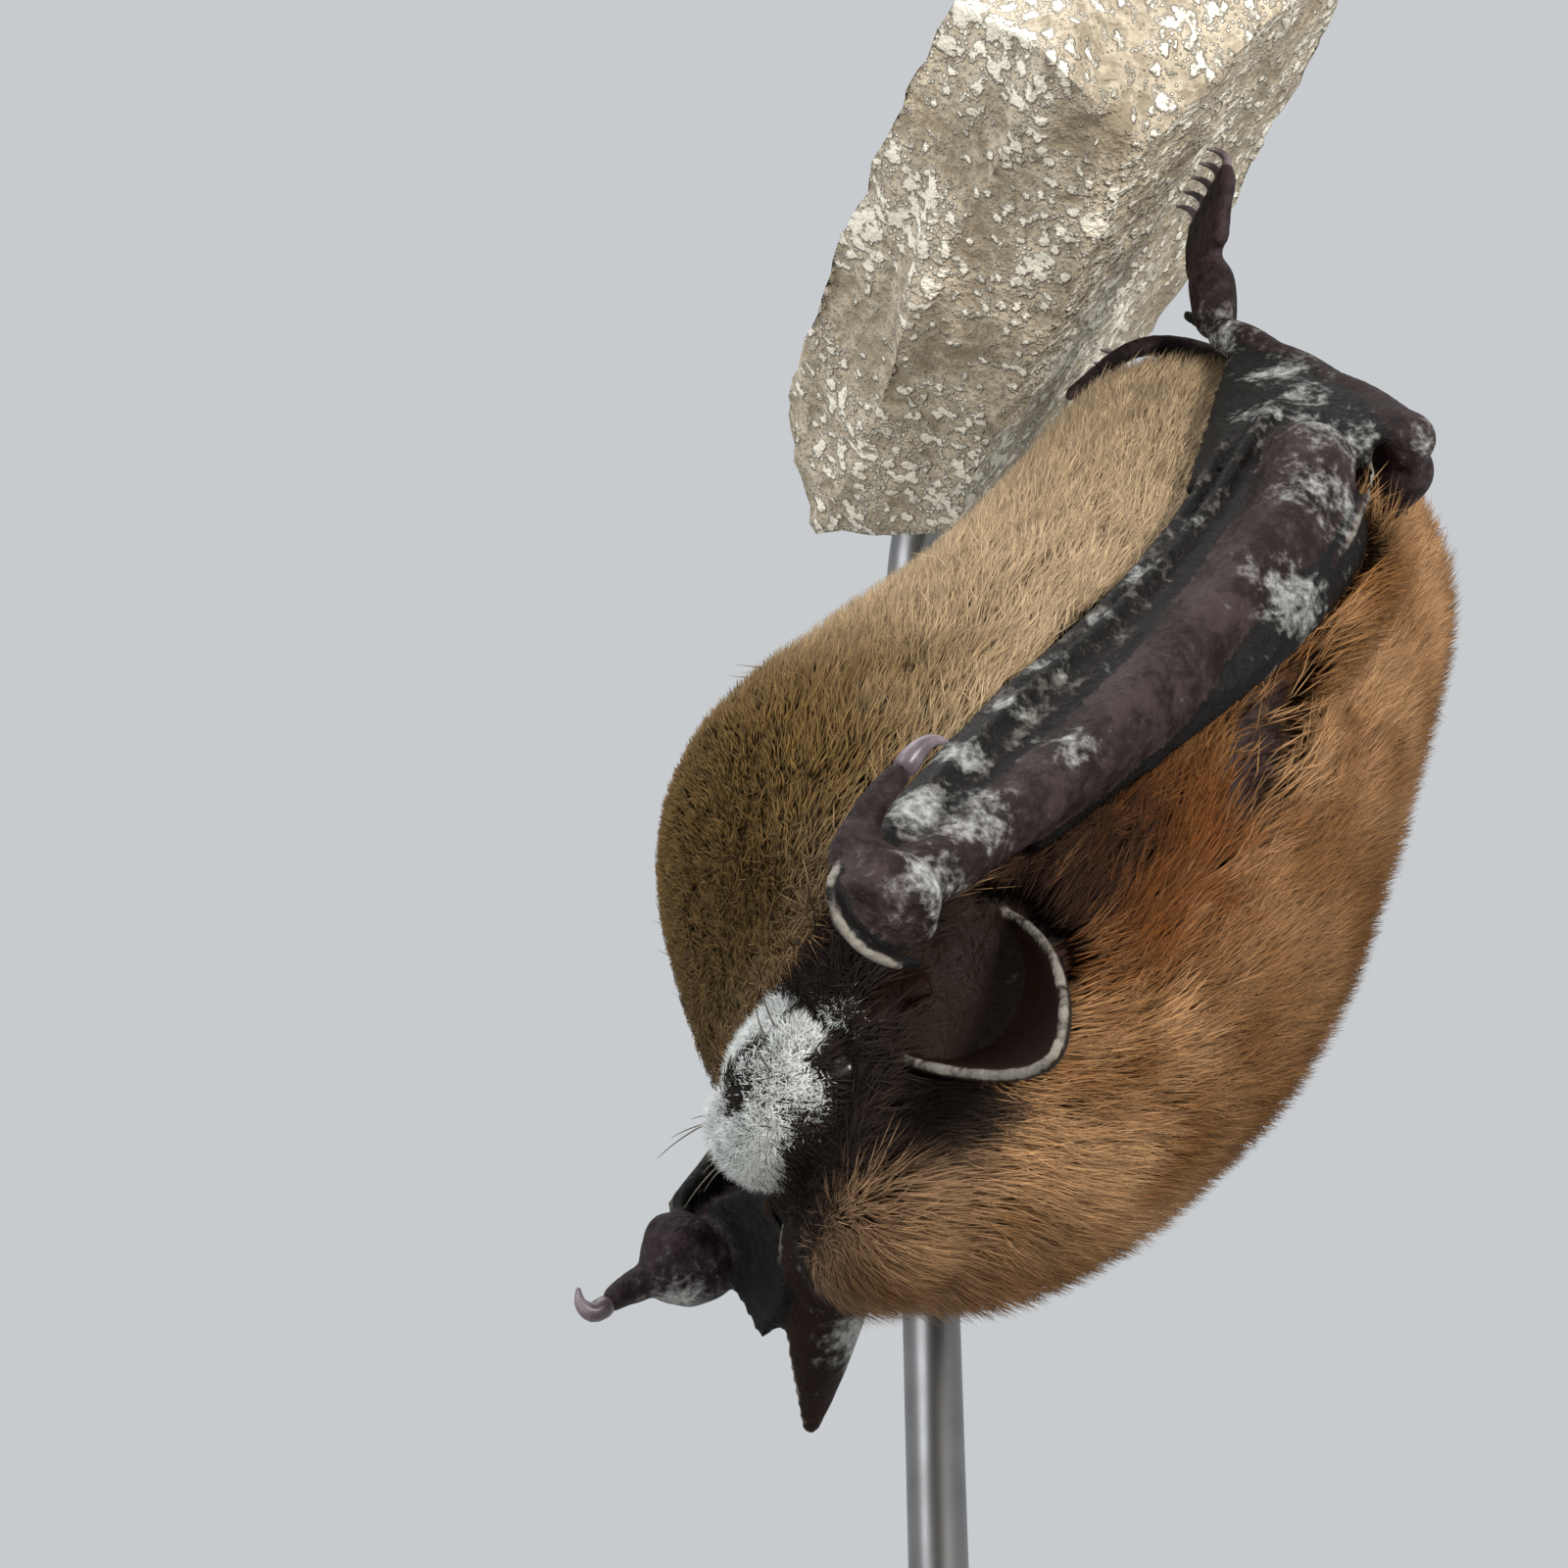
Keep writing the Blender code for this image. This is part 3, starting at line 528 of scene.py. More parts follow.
@dataclass(frozen=True)
class Pelage:
    """Colours of the coat, shared by the skin under it."""

    russet: Point = srgb(116, 78, 42)
    orange: Point = srgb(99, 57, 21)
    # Painted shade: dark umber for the gap where the forearm meets the flank.
    under_arm_shade: Point = srgb(46, 28, 16)
    nape: Point = srgb(175, 136, 97)
    buff: Point = srgb(179, 155, 123)
    # Partly the throat's own olive tone, partly painted shade under the wrists and head.
    olive_and_shade: Point = srgb(104, 80, 42)
    mask: Point = srgb(40, 30, 24)
    brow: Point = srgb(140, 111, 84)

    def colour(self, shader: Shader, place: Any) -> Any:
        """Colour of the fur at a place.

        Args:
            shader: the material that is being built.
            place: the place to colour, on the model's own axes.

        Returns:
            A colour socket.
        """
        rel = shader.vector("SUBTRACT", place, tuple(GRIP * MM))
        a = shader.dot(rel, tuple(CRANIAL / MM))
        v = shader.dot(rel, tuple(VENTRAL / MM))
        s = abs(shader.dot(rel, tuple(LEFT / MM)))
        cos, sin = math.cos(HEAD_FLEXION), math.sin(HEAD_FLEXION)
        da, dv = a - HEAD_CENTRE[0], v - HEAD_CENTRE[1]
        h, n = cos * da + sin * dv, sin * da - cos * dv
        drift = shader.noise(place, 240.0, 3.0) - 0.5
        blotch = shader.noise(place, 560.0, 3.0, 0.6) - 0.5
        strand = shader.noise(place, 1500.0, 2.0, 0.5) - 0.5
        back = shader.mix((0.5 + 2.4 * drift + 1.2 * blotch).step(0.1, 0.9), self.russet, self.nape)
        # Painted shade: the russet is darkened along the back's outer edge, from the rump up to the
        # shoulders.
        edge = (-1.0 * v).step(20.5, 26.5) * (1.0 - (a - 42.0).step(0.0, 6.0))
        back_edge_shade = shader.scale_colour(self.russet, 0.78)
        back = shader.mix((edge * (0.75 + 1.2 * blotch)).low(1.0), back, back_edge_shade)
        shoulder = (a - 41.5).hill(8.5) * (v + 19.5).hill(5.0) * s.step(5.0, 9.5)
        back = shader.mix((shoulder * (0.9 + 1.6 * blotch + 1.8 * strand)).step(0.2, 0.8), back, self.orange)
        # Painted shade: dark umber in the gap between the forearm and the flank, below the neck.
        deep = (a - 44.5).hill(6.5) * (v + 16.3).hill(4.4) * s.step(6.0, 9.5)
        back = shader.mix((deep * (1.05 + 2.2 * blotch - 1.6 * strand)).step(0.25, 0.8), back, self.under_arm_shade)
        # Throat and chest go darker olive than the belly: partly the fur's own tone, partly painted shade
        # under the wrists and head.
        throat = (a - 48.0).hill(14.0) * v.step(-17.0, -6.0)
        belly = shader.mix((throat + 0.6 * drift).step(0.12, 0.95), self.buff, self.olive_and_shade)
        flank = (v + 3.0 * drift).step(-15.0, -11.5)
        coat = shader.mix(flank * (1.0 - (h - 1.5).step(0.0, 2.5) * (n + 5.0).step(0.0, 1.0)), back, belly)
        brow = (h + 1.6 * drift).step(0.2, 2.6) * (1.0 - (n - 5.0).step(0.0, 2.4)) * (n + 4.6).step(0.0, 1.0)
        coat = shader.mix(brow, coat, self.brow)
        mask = (h + 1.4 * blotch).step(-0.6, 1.4) * (1.0 - (n - 4.2 + 2.2 * drift).step(0.0, 1.8))
        mask = mask * (n + 4.6).step(0.0, 0.8)
        return shader.mix((mask * (1.0 + 0.8 * blotch)).step(0.25, 0.8), coat, self.mask)


@dataclass(frozen=True)
class CoatFinish:
    """Finish of the tufts: darker at the root, each a little different."""

    name: str = "fur_tufts"
    pelage: Pelage = field(default_factory=Pelage)
    fungus: Point = srgb(186, 187, 182)
    roughness: float = 0.75
    specular: float = 0.15

    def build(self) -> bpy.types.Material:
        """Make the material.

        Returns:
            The material.
        """
        shader = Shader(self.name)
        root = shader.stored_place("root")
        along = shader.attribute("along")
        tone = shader.attribute("tone")
        colour = self.pelage.colour(shader, root)
        locks = shader.noise(root, 1300.0, 3.0, 0.6)
        frosted = (tone - 1.1).step(0.0, 0.2)
        bright = (0.25 + 0.90 * along.step(0.0, 0.9)) * (0.55 + 0.75 * tone.low(1.0)) * (0.25 + 1.5 * locks)
        colour = shader.scale_colour(colour, bright)
        frost = shader.scale_colour(self.fungus, 0.55 + 0.45 * along.step(0.0, 0.6))
        colour = shader.mix(frosted, colour, frost)
        return shader.finish(Base_Color=colour, Roughness=self.roughness, Specular_IOR_Level=self.specular)


@dataclass(frozen=True)
class SkinFinish:
    """Finish of the skin: dark under the fur, purplish on the limbs, with fungal patches."""

    name: str = "bat_skin"
    pelage: Pelage = field(default_factory=Pelage)
    specular: float = 0.14
    limb: Point = srgb(54, 42, 43)
    limb_red: Point = srgb(27, 16, 16)
    web: Point = srgb(11, 9, 8)
    # Grey of the finger bones: partly their own tone, partly painted highlight along the ridges.
    finger: Point = srgb(82, 77, 71)
    ear: Point = srgb(30, 15, 5)
    # Painted highlight along the margins of the ears and the skin folds.
    rim: Point = srgb(124, 118, 109)
    fungus: Point = srgb(176, 177, 174)

    def build(self) -> bpy.types.Material:
        """Make the material.

        Returns:
            The material.
        """
        shader = Shader(self.name)
        place = shader.place()
        fur, web, finger = shader.attribute("fur"), shader.attribute("web"), shader.attribute("finger")
        ear, rim, bloom = shader.attribute("ear"), shader.attribute("rim"), shader.attribute("bloom")
        fine = shader.noise(place, 2600.0, 3.0, 0.6)
        middle = shader.noise(place, 800.0, 4.0, 0.6)
        wide = shader.noise(place, 210.0, 3.0, 0.6)
        tint = (middle + 0.8 * (wide - 0.5) + 0.5 * (fine - 0.5)).step(0.36, 0.68)
        colour = shader.mix(tint, self.limb_red, self.limb)
        # Finger bones: dark web colour with pale grey ridges, partly the bones' own tone and partly painted
        # highlight.
        ridge_and_highlight = (middle + 0.6 * (fine - 0.5)).step(0.48, 0.74)
        colour = shader.mix(finger.step(0.3, 0.8), colour, shader.mix(ridge_and_highlight, self.web, self.finger))
        colour = shader.mix(web.step(0.3, 0.8), colour, shader.scale_colour(self.web, 0.5 + middle))
        colour = shader.mix(ear.step(0.3, 0.8), colour, shader.scale_colour(self.ear, 0.2 + 1.3 * wide))
        # Painted highlight: a broken pale line along the margins of the ears and the skin folds.
        colour = shader.mix((rim * (4.0 * middle - 1.25)).step(0.2, 0.95), colour, self.rim)
        dust = shader.noise(place, 4600.0, 2.0, 0.5)
        haze = (bloom + 1.5 * (middle - 0.5) + 1.2 * (fine - 0.5)).step(0.32, 1.15)
        patch = (haze * (0.25 + 1.2 * dust)).low(0.95)
        under = shader.scale_colour(self.pelage.colour(shader, place), fine * 0.3 + 0.25)
        colour = shader.mix(fur.step(0.3, 0.7), colour, under)
        colour = shader.mix(patch, colour, self.fungus)
        rough = 0.5 + 0.2 * middle + 0.3 * patch
        shader.bump(fine * 0.5 + middle + patch * 0.6, 0.0003, 0.8)
        return shader.finish(Base_Color=colour, Roughness=rough, Specular_IOR_Level=self.specular)


@dataclass(frozen=True)
class PlainFinish:
    """A simple finish with a little mottling."""

    name: str
    colour: Point
    shade: Point
    scale: float = 600.0
    roughness: float = 0.5
    metallic: float = 0.0
    coat: float = 0.0
    relief: float = 0.0

    def build(self) -> bpy.types.Material:
        """Make the material.

        Returns:
            The material.
        """
        shader = Shader(self.name)
        mottle = shader.noise(shader.place(), self.scale, 3.0)
        colour = shader.mix(mottle.step(0.3, 0.7), self.shade, self.colour)
        if self.relief:
            shader.bump(mottle, self.relief)
        rough = self.roughness + 0.12 * (mottle - 0.5)
        return shader.finish(
            Base_Color=colour, Roughness=rough, Metallic=self.metallic, Coat_Weight=self.coat
        )


@dataclass(frozen=True)
class RockFinish:
    """Rough buff-grey rock with pale grains."""

    name: str = "speckled_rock"
    ground: Point = srgb(208, 194, 171)
    dark: Point = srgb(146, 132, 110)
    grain: Point = srgb(240, 232, 214)

    def build(self) -> bpy.types.Material:
        """Make the material.

        Returns:
            The material.
        """
        shader = Shader(self.name)
        place = shader.place()
        wide = shader.noise(place, 160.0, 4.0, 0.6)
        fine = shader.noise(place, 1300.0, 3.0, 0.65)
        cells = shader.cells(shader.vector("MULTIPLY", place, (1.0, 1.0, 0.55)), 1500.0)
        crumbs = shader.cells(place, 3300.0)
        speck = (0.52 - cells + 1.9 * (fine - 0.5) + 1.9 * (wide - 0.5)).step(0.0, 0.3)
        speck = speck + (0.34 - crumbs + 1.4 * (wide - 0.5)).step(0.0, 0.2) * (1.0 - speck)
        colour = shader.mix((wide + 0.8 * (fine - 0.5)).step(0.3, 0.65), self.dark, self.ground)
        colour = shader.mix(speck, colour, self.grain)
        shader.bump(fine * 0.8 + speck * 0.7 + wide, 0.0006)
        return shader.finish(Base_Color=colour, Roughness=0.82 - 0.2 * speck)


# The skin ---------------------------------------------------------------------------------------
class Tissue(Enum):
    """Kinds of skin, each drawn its own way."""

    FUR = "fur"
    LIMB = "limb"
    WEB = "web"
    EAR = "ear"
    FINGER = "finger"


def coat_depth(points: np.ndarray) -> np.ndarray:
    """Depth of the coat, in millimetres, over places on the body.

    Args:
        points: world places, one a row.

    Returns:
        The depth at each place.
    """
    a, v, s = body_coordinates(points)
    h, n, _ = head_coordinates(points)
    depth = 1.5 + 0.8 * ramp(a, 6.0, 20.0) * ramp(-v, 8.0, 20.0)
    muzzle = ramp(h, 0.0, 4.8) * (1.0 - ramp(n, 2.4, 5.2) * ramp(-h, -5.0, -2.6))
    return depth * (1.0 - muzzle) + 0.35 * muzzle


@dataclass(frozen=True)
class EarShape:
    """A leaf rolled into a cup; lengths in millimetres, ways in head coordinates.

    Args:
        length: from base to tip.
        bend: how far the tip curves towards the inner margin.
        fullest: greatest half width.
        near: fullness towards the base.
        far: slimness towards the tip.
        roll: roll at the base in degrees.
        unroll: how much of the roll is lost by the tip.
        cup: depth of the cup as a share of its half width.
        base: where the ear stands.
        reach: way along the ear.
        inwards: way from the outer margin to the inner one.
        behind: way from the opening to the back of the cup.
    """

    length: float
    bend: float
    fullest: float
    near: float
    far: float
    roll: float
    unroll: float
    cup: float
    base: Point
    reach: Point
    inwards: Point
    behind: Point

    def place(self, across: float, along: float) -> np.ndarray:
        """Head coordinates of a point of the middle surface, as on the left side.

        Args:
            across: place across it, -1 to 1.
            along: place along it, 0 to 1.

        Returns:
            Head coordinates, in millimetres.
        """
        peak = self.near / (self.near + self.far)
        share = (along / peak) ** self.near * ((1.0 - along) / (1.0 - peak)) ** self.far
        half_width = self.fullest * share + 0.12
        turn = math.radians(self.roll - self.unroll * along)
        wide = half_width * math.sin(across * turn) / max(math.sin(min(turn, 0.5 * math.pi)), 0.75)
        rib = 0.05 * math.cos(26.0 * across) * math.sin(math.pi * along)
        deep = self.cup * half_width * (math.cos(across * turn) - 0.3) + rib
        point = np.array(self.base) + np.array(self.reach) * (self.length * along)
        return point + np.array(self.inwards) * (wide + self.bend * along ** 2) + np.array(self.behind) * deep

    def holds(self, h: np.ndarray, n: np.ndarray, s: np.ndarray) -> np.ndarray:
        """Whether places, given as on the left side, lie in the cup.

        Args:
            h: places towards the nose, in millimetres.
            n: places towards the crown, in millimetres.
            s: places outwards, in millimetres.

        Returns:
            Whether each place does.
        """
        rel = np.stack((h, n, s), axis=1) - self.base
        along, wide = rel @ np.array(self.reach), rel @ np.array(self.inwards)
        deep = rel @ np.array(self.behind)
        return (along > -2.6) & (along < 12.0) & (np.abs(wide) < 3.2) & (deep > -2.6) & (deep < 2.4)


EARS = {
    1.0: EarShape(
        13.1, -0.71, 2.22, 0.55, 1.0, 107.0, 26.9, 1.0,
        (-0.56, -1.6, 5.26), (0.204, 0.671, 0.712), (0.846, 0.245, -0.474), (-0.493, 0.699, -0.518),
    ),
    -1.0: EarShape(
        12.67, 2.99, 3.31, 0.25, 0.7, 92.1, 31.8, 0.83,
        (-0.1, -1.51, 4.61), (-0.013, 0.538, 0.843), (0.703, 0.605, -0.375), (-0.712, 0.587, -0.386),
    ),
}


@dataclass
class BatSkin:
    """The whole skin, built by kinds of tissue and then grown together."""

    voxel: float = 0.24 * MM
    membrane: float = 0.5 * MM
    ear_wall: float = 0.5 * MM
    face_limit: int = 190000
    parts: dict[Tissue, bmesh.types.BMesh] = field(default_factory=dict)
    rim_highlight_points: list[np.ndarray] = field(default_factory=list)

    def __post_init__(self) -> None:
        """Open one bmesh for each kind of tissue."""
        self.parts = {tissue: bmesh.new() for tissue in Tissue}

    @staticmethod
    def oval(low: float, high: float, half_width: float, turn: float) -> tuple[float, float]:
        """A full rounded section: height and side at a turn.

        Args:
            low: its lower end.
            high: its upper end.
            half_width: half its width.
            turn: angle round it, in radians.

        Returns:
            Height and side.
        """
        cos, sin = math.cos(turn), math.sin(turn)
        height = 0.5 * (low + high) + math.copysign(abs(cos) ** 0.9, cos) * 0.5 * (high - low)
        return height, math.copysign(abs(sin) ** 0.9, sin) * half_width

    def trunk(self) -> None:
        """Trunk, neck and crown under the coat."""
        rings = 44

        def place(ring: int, turn: float) -> np.ndarray:
            """Point of the skin under the body's coat.

            Args:
                ring: number of the ring.
                turn: angle round it, in radians.

            Returns:
                The world point.
            """
            along, back, belly, half_width = spline(BODY_STATIONS, ring / rings)
            v, s = self.oval(back, belly, half_width, turn)
            point = body_point(along, v, s)
            middle = body_point(min(max(along, 9.0), 49.0), 0.45 * back + 0.55 * belly, 0.0)
            inward = (middle - point) / max(np.linalg.norm(middle - point), 1e-6)
            return point + inward * float(coat_depth(point[None])[0]) * MM

        add_ball(self.parts[Tissue.FUR], 48, rings, place)

    def face(self) -> None:
        """Face with brow, swollen muzzle, lips, nostrils, lids and a receding chin."""
        rings = 40

        def place(ring: int, turn: float) -> np.ndarray:
            """Point of the face's skin.

            Args:
                ring: number of the ring.
                turn: angle round it, in radians.

            Returns:
                The world point.
            """
            h, top, under, half_width = spline(HEAD_STATIONS, ring / rings)
            n, s = self.oval(under, top, half_width, turn)
            side = abs(s)
            cheek = float(hill(h - 5.6, 1.4) * hill(n + 0.8, 1.3))
            chin = float(hill(h - 6.9, 1.2) * hill(n + 2.3, 0.9))
            nostril = float(hill(h - 7.2, 0.8) * hill(n - 0.5, 0.5) * hill(side - 1.05, 0.45))
            pad = float(hill(h - 6.9, 0.9) * hill(n - 0.7, 0.9) * hill(side - 1.1, 0.9))
            lips = float(ramp(h, 3.4, 4.6) * hill(n + 1.35 + 0.22 * (h - 5.6), 0.22))
            socket = float(hill(h - EYE_PLACE[0], 1.0) * hill(n - EYE_PLACE[1], 0.8) * ramp(side, 2.0, 3.5))
            from_eye = math.hypot(h - EYE_PLACE[0], 0.8 * (n - EYE_PLACE[1]))
            lid = float(hill(from_eye - 0.72, 0.3) * ramp(side, 2.0, 3.5))
            s = math.copysign(side + 0.35 * cheek + 0.15 * pad - 0.2 * socket + 0.42 * lid, s)
            h += 0.3 * pad - 0.8 * nostril - 0.7 * chin - 0.35 * lips * ramp(h, 5.5, 7.0)
            s *= 1.0 - 0.07 * lips
            point = head_point(h, n, s)
            middle = head_point(min(h, 3.0), 0.0, 0.0)
            inward = (middle - point) / max(np.linalg.norm(middle - point), 1e-6)
            return point + inward * float(coat_depth(point[None])[0]) * MM

        add_ball(self.parts[Tissue.FUR], 48, rings, place)
        fill = 20

        def crown(ring: int, turn: float) -> np.ndarray:
            """Point of the muscle that rounds the crown into the nape.

            Args:
                ring: number of the ring.
                turn: angle round it, in radians.

            Returns:
                The world point.
            """
            angle = math.pi * ring / fill
            return head_point(
                0.9 + 3.3 * math.sin(angle) * math.cos(turn), 3.1 - 2.6 * math.cos(angle),
                4.6 * math.sin(angle) * math.sin(turn),
            )

        add_ball(self.parts[Tissue.FUR], 32, fill, crown)

    def tube(
        self, tissue: Tissue, rows: Sequence[Point], radii: Sequence[float], sign: float, **options: Any,
    ) -> None:
        """Add a limb given by body coordinates on one side."""
        add_tube(self.parts[tissue], [body_point(a, v, sign * s) for a, v, s in rows], radii, **options)

    def arm(self, sign: float) -> None:
        """Upper arm, muscled forearm, the rounded wrist and the folds of skin along them.

        Args:
            sign: 1 on the left, -1 on the right.
        """
        self.tube(
            Tissue.FUR, ((18.0, -16.8, 10.6), (22.0, -17.6, 10.4), (29.0, -18.0, 9.2), (38.0, -18.0, 6.6)),
            (0.9, 1.2, 1.5, 2.0), sign,
        )
        self.tube(
            Tissue.LIMB,
            (ELBOW, (24.0, -15.2, 12.4), (36.0, -15.3, 12.6), (45.0, -14.5, 12.9), (51.0, -13.5, 13.0)),
            (1.85, 2.1, 1.65, 1.3, 1.2), sign, sides=24, spans=64,
            swell=lambda t, turn: (
                1.0 + 0.030 * math.sin(52.0 * t + 1.5 * math.sin(turn))
                + 0.035 * math.sin(3.0 * turn + 9.0 * t)
            ),
        )
        self.tube(
            Tissue.LIMB, ((49.5, -13.3, 12.8), (51.6, -13.3, 13.0), (53.4, -13.6, 13.0)),
            (1.6, 2.2, 1.75), sign, sides=24, spans=14, flat=0.95,
            swell=lambda t, turn: (
                1.0 + 0.07 * math.sin(3.0 * turn + 4.0 * t) + 0.05 * math.sin(7.0 * turn - 6.0 * t)
            ),
        )
        folds = [
            (
                (15.4, -14.6, 12.2), (17.4, -16.2, 12.9), (21.5, -17.2, 13.4),
                (26.5, -17.6, 13.5), (30.8, -18.4, 12.8),
            ),
        ]
        if sign < 0:
            folds.append((
                (50.8, -11.5, 13.6), (52.6, -11.4, 13.9), (54.1, -12.4, 14.0),
                (54.6, -14.0, 13.9), (53.9, -15.4, 13.5),
            ))
            self.between(
                Tissue.WEB, folds[1], [(a - 1.2, v - 0.6, 13.0) for a, v, _ in folds[1]], sign, 8, 24, 0.0,
            )
        for fold in folds:
            self.tube(Tissue.LIMB, fold, (0.15, 0.18, 0.18, 0.18, 0.15), sign, sides=8, spans=24)
            rows = [spline(fold, float(t)) for t in np.linspace(0.0, 1.0, 120)]
            self.rim_highlight_points += [body_point(a, v, sign * side) for a, v, side in rows]

    def hand(self, sign: float) -> None:
        """The folded fingers: long hand bones side by side over creased wing skin.

        Args:
            sign: 1 on the left, -1 on the right.
        """
        stations = (
            (15.2, -11.8, -11.2, 12.0, 11.2), (18.0, -13.2, -10.0, 12.9, 9.6),
            (24.0, -13.6, -11.1, 13.0, 9.4), (32.0, -13.9, -11.5, 13.2, 9.6),
            (42.0, -13.4, -10.9, 13.5, 10.4), (50.4, -12.8, -11.2, 13.7, 12.2),
        )
        rings = 40

        def section(t: float) -> tuple[float, float, float, float, float]:
            """Station, centre and half sizes of the bundle.

            Args:
                t: place along it, 0 to 1.

            Returns:
                Place along it, then its centre and half size towards the belly, then outwards.
            """
            along, back, belly, outer, inner = spline(stations, t)
            return (
                along, 0.5 * (back + belly), 0.5 * (belly - back),
                0.5 * (outer + inner), 0.5 * (outer - inner),
            )

        def place(ring: int, turn: float) -> np.ndarray:
            """Point of the creased skin between the bones.

            Args:
                ring: number of the ring.
                turn: angle round it, in radians.

            Returns:
                The world point.
            """
            t = ring / rings
            along, v, half_v, s, half_s = section(t)
            scale = 0.62 * math.sin(math.pi * t) ** 0.35
            return body_point(
                along, v + half_v * scale * math.cos(turn), sign * (s + half_s * scale * math.sin(turn))
            )

        add_ball(self.parts[Tissue.WEB], 28, rings, place)
        knuckles = ((0.34, 0.30, 0.30, 0.34, 0.38, 0.42), (0.30, 0.36, 0.30, 0.32, 0.36, 0.42))
        for number, angle in enumerate((-32.0, 20.0, 70.0, 122.0)):
            turn = math.radians(90.0 - angle)
            route = []
            for t in np.linspace(0.03, 0.985, 9):
                along, v, half_v, s, half_s = section(float(t))
                scale = 0.95 * math.sin(math.pi * min(max(float(t), 0.06), 0.94)) ** 0.3
                v += half_v * scale * math.cos(turn)
                s += half_s * scale * math.sin(turn)
                route.append((along, v, s))
            radii = knuckles[number % 2]
            self.tube(Tissue.FINGER, route, radii, sign, sides=8, spans=30)

    def thumb(self, sign: float) -> None:
        """The thumb up to its claw; the two lie differently.

        Args:
            sign: 1 on the left, -1 on the right.
        """
        if sign < 0:
            rows = ((52.0, -11.6, 13.3), (49.6, -10.9, 14.4), (47.6, -10.9, 15.1))
        else:
            rows = ((52.9, -12.8, 13.2), (54.3, -12.2, 13.4), (55.4, -12.1, 13.3))
        self.tube(Tissue.LIMB, rows, (0.95, 0.62, 0.5), sign, sides=12, spans=12)

    def between(
        self, tissue: Tissue, first: Sequence[Point], second: Sequence[Point], sign: float,
        columns: int, rows: int, bulge: float, fold: float = 0.0,
    ) -> None:
        """Stretch a skin between two curves.

        Args:
            tissue: the kind of skin.
            first: one edge in body coordinates.
            second: the other edge.
            sign: 1 on the left, -1 on the right.
            columns: cells across.
            rows: cells along.
            bulge: how far its middle bows outwards.
            fold: depth of its small creases.
        """

        def place(across: float, along: float) -> np.ndarray:
            """Point of the skin.

            Args:
                across: place across it, -1 to 1.
                along: place along it, 0 to 1.

            Returns:
                The world point.
            """
            t = 0.5 * (across + 1.0)
            a, v, s = spline(first, along) * (1.0 - t) + spline(second, along) * t
            crease = fold * math.sin(17.0 * t + 5.0 * along) * math.sin(math.pi * along)
            s += bulge * math.sin(math.pi * t) + crease
            return body_point(a, v, sign * s)

        add_sheet(self.parts[tissue], columns, rows, place, self.membrane)

    def wing_skins(self, sign: float) -> None:
        """Skin in front of the arm, skin between hand and leg, and the flap at the wrist.

        Args:
            sign: 1 on the left, -1 on the right.
        """
        self.between(
            Tissue.WEB,
            (
                (19.0, -16.0, 13.0), (23.0, -16.8, 13.6), (28.0, -17.0, 13.9),
                (34.0, -15.8, 13.0), (44.0, -14.6, 12.2),
            ),
            (
                (19.5, -17.6, 11.6), (24.0, -18.4, 12.2), (30.6, -18.4, 12.8),
                (36.0, -17.4, 11.6), (44.0, -16.0, 11.4),
            ),
            sign, 14, 48, 0.2, 0.10,
        )
        self.between(
            Tissue.WEB,
            ((16.5, -13.4, 12.8), (24.0, -14.0, 13.2), (36.0, -14.0, 13.3), (47.0, -13.2, 13.3)),
            ((16.5, -11.8, 11.6), (24.0, -12.0, 12.2), (36.0, -12.3, 12.4), (47.0, -12.2, 12.6)),
            sign, 8, 40, 0.0, 0.05,
        )
        if sign > 0:
            self.between(
                Tissue.WEB,
                ((49.3, -12.6, 11.8), (51.0, -15.1, 12.5), (53.0, -18.0, 11.7)),
                ((49.0, -13.8, 8.8), (50.6, -16.1, 8.3), (52.6, -17.9, 9.4)),
                sign, 24, 20, 0.25, 0.10,
            )
        self.between(
            Tissue.WEB,
            ((8.2, -6.6, 7.0), (10.4, -9.6, 9.4), (12.2, -12.6, 11.6), (14.4, -15.6, 13.2)),
            ((23.0, -10.8, 11.0), (20.6, -11.0, 11.7), (18.0, -12.6, 12.4), (17.2, -15.6, 12.8)),
            sign, 20, 24, 0.25, 0.15,
        )

    def leg(self, sign: float) -> None:
        """Thigh, shin, sole and toes.

        Args:
            sign: 1 on the left, -1 on the right.
        """
        self.tube(
            Tissue.LIMB, ((9.5, -14.5, 4.0), (12.5, -16.2, 9.0), (15.0, -17.1, 12.4)), (2.3, 1.7, 1.25), sign,
        )
        self.tube(
            Tissue.LIMB, (KNEE, (12.2, -13.0, 11.2), (9.6, -8.8, 8.4), ANKLE), (1.3, 0.92, 0.85, 0.95), sign,
            swell=lambda t, turn: 1.0 + 0.08 * math.sin(25.0 * t + 2.0 * turn),
        )
        self.tube(
            Tissue.LIMB, ((7.9, -6.0, 6.1), (6.1, -4.6, 6.4), (4.5, -3.3, 6.6)), (0.95, 1.15, 1.05), sign,
            flat=0.95, spans=10,
        )
        for number in range(5):
            self.tube(Tissue.LIMB, self.toe_rows(number), (0.5, 0.44, 0.5, 0.36), sign, sides=8, spans=12)

    @staticmethod
    def toe_rows(number: int) -> tuple[Point, ...]:
        """Body coordinates along one toe, up to its claw.

        Args:
            number: which toe, 0 to 4.

        Returns:
            The rows.
        """
        spread = (number - 2) * 0.62
        base, middle = 6.6 + spread, 6.8 + spread * 1.5
        return (4.8, -3.5, base), (3.1, -2.4, middle), (1.7, -1.75, middle), (0.7, -1.1, middle)

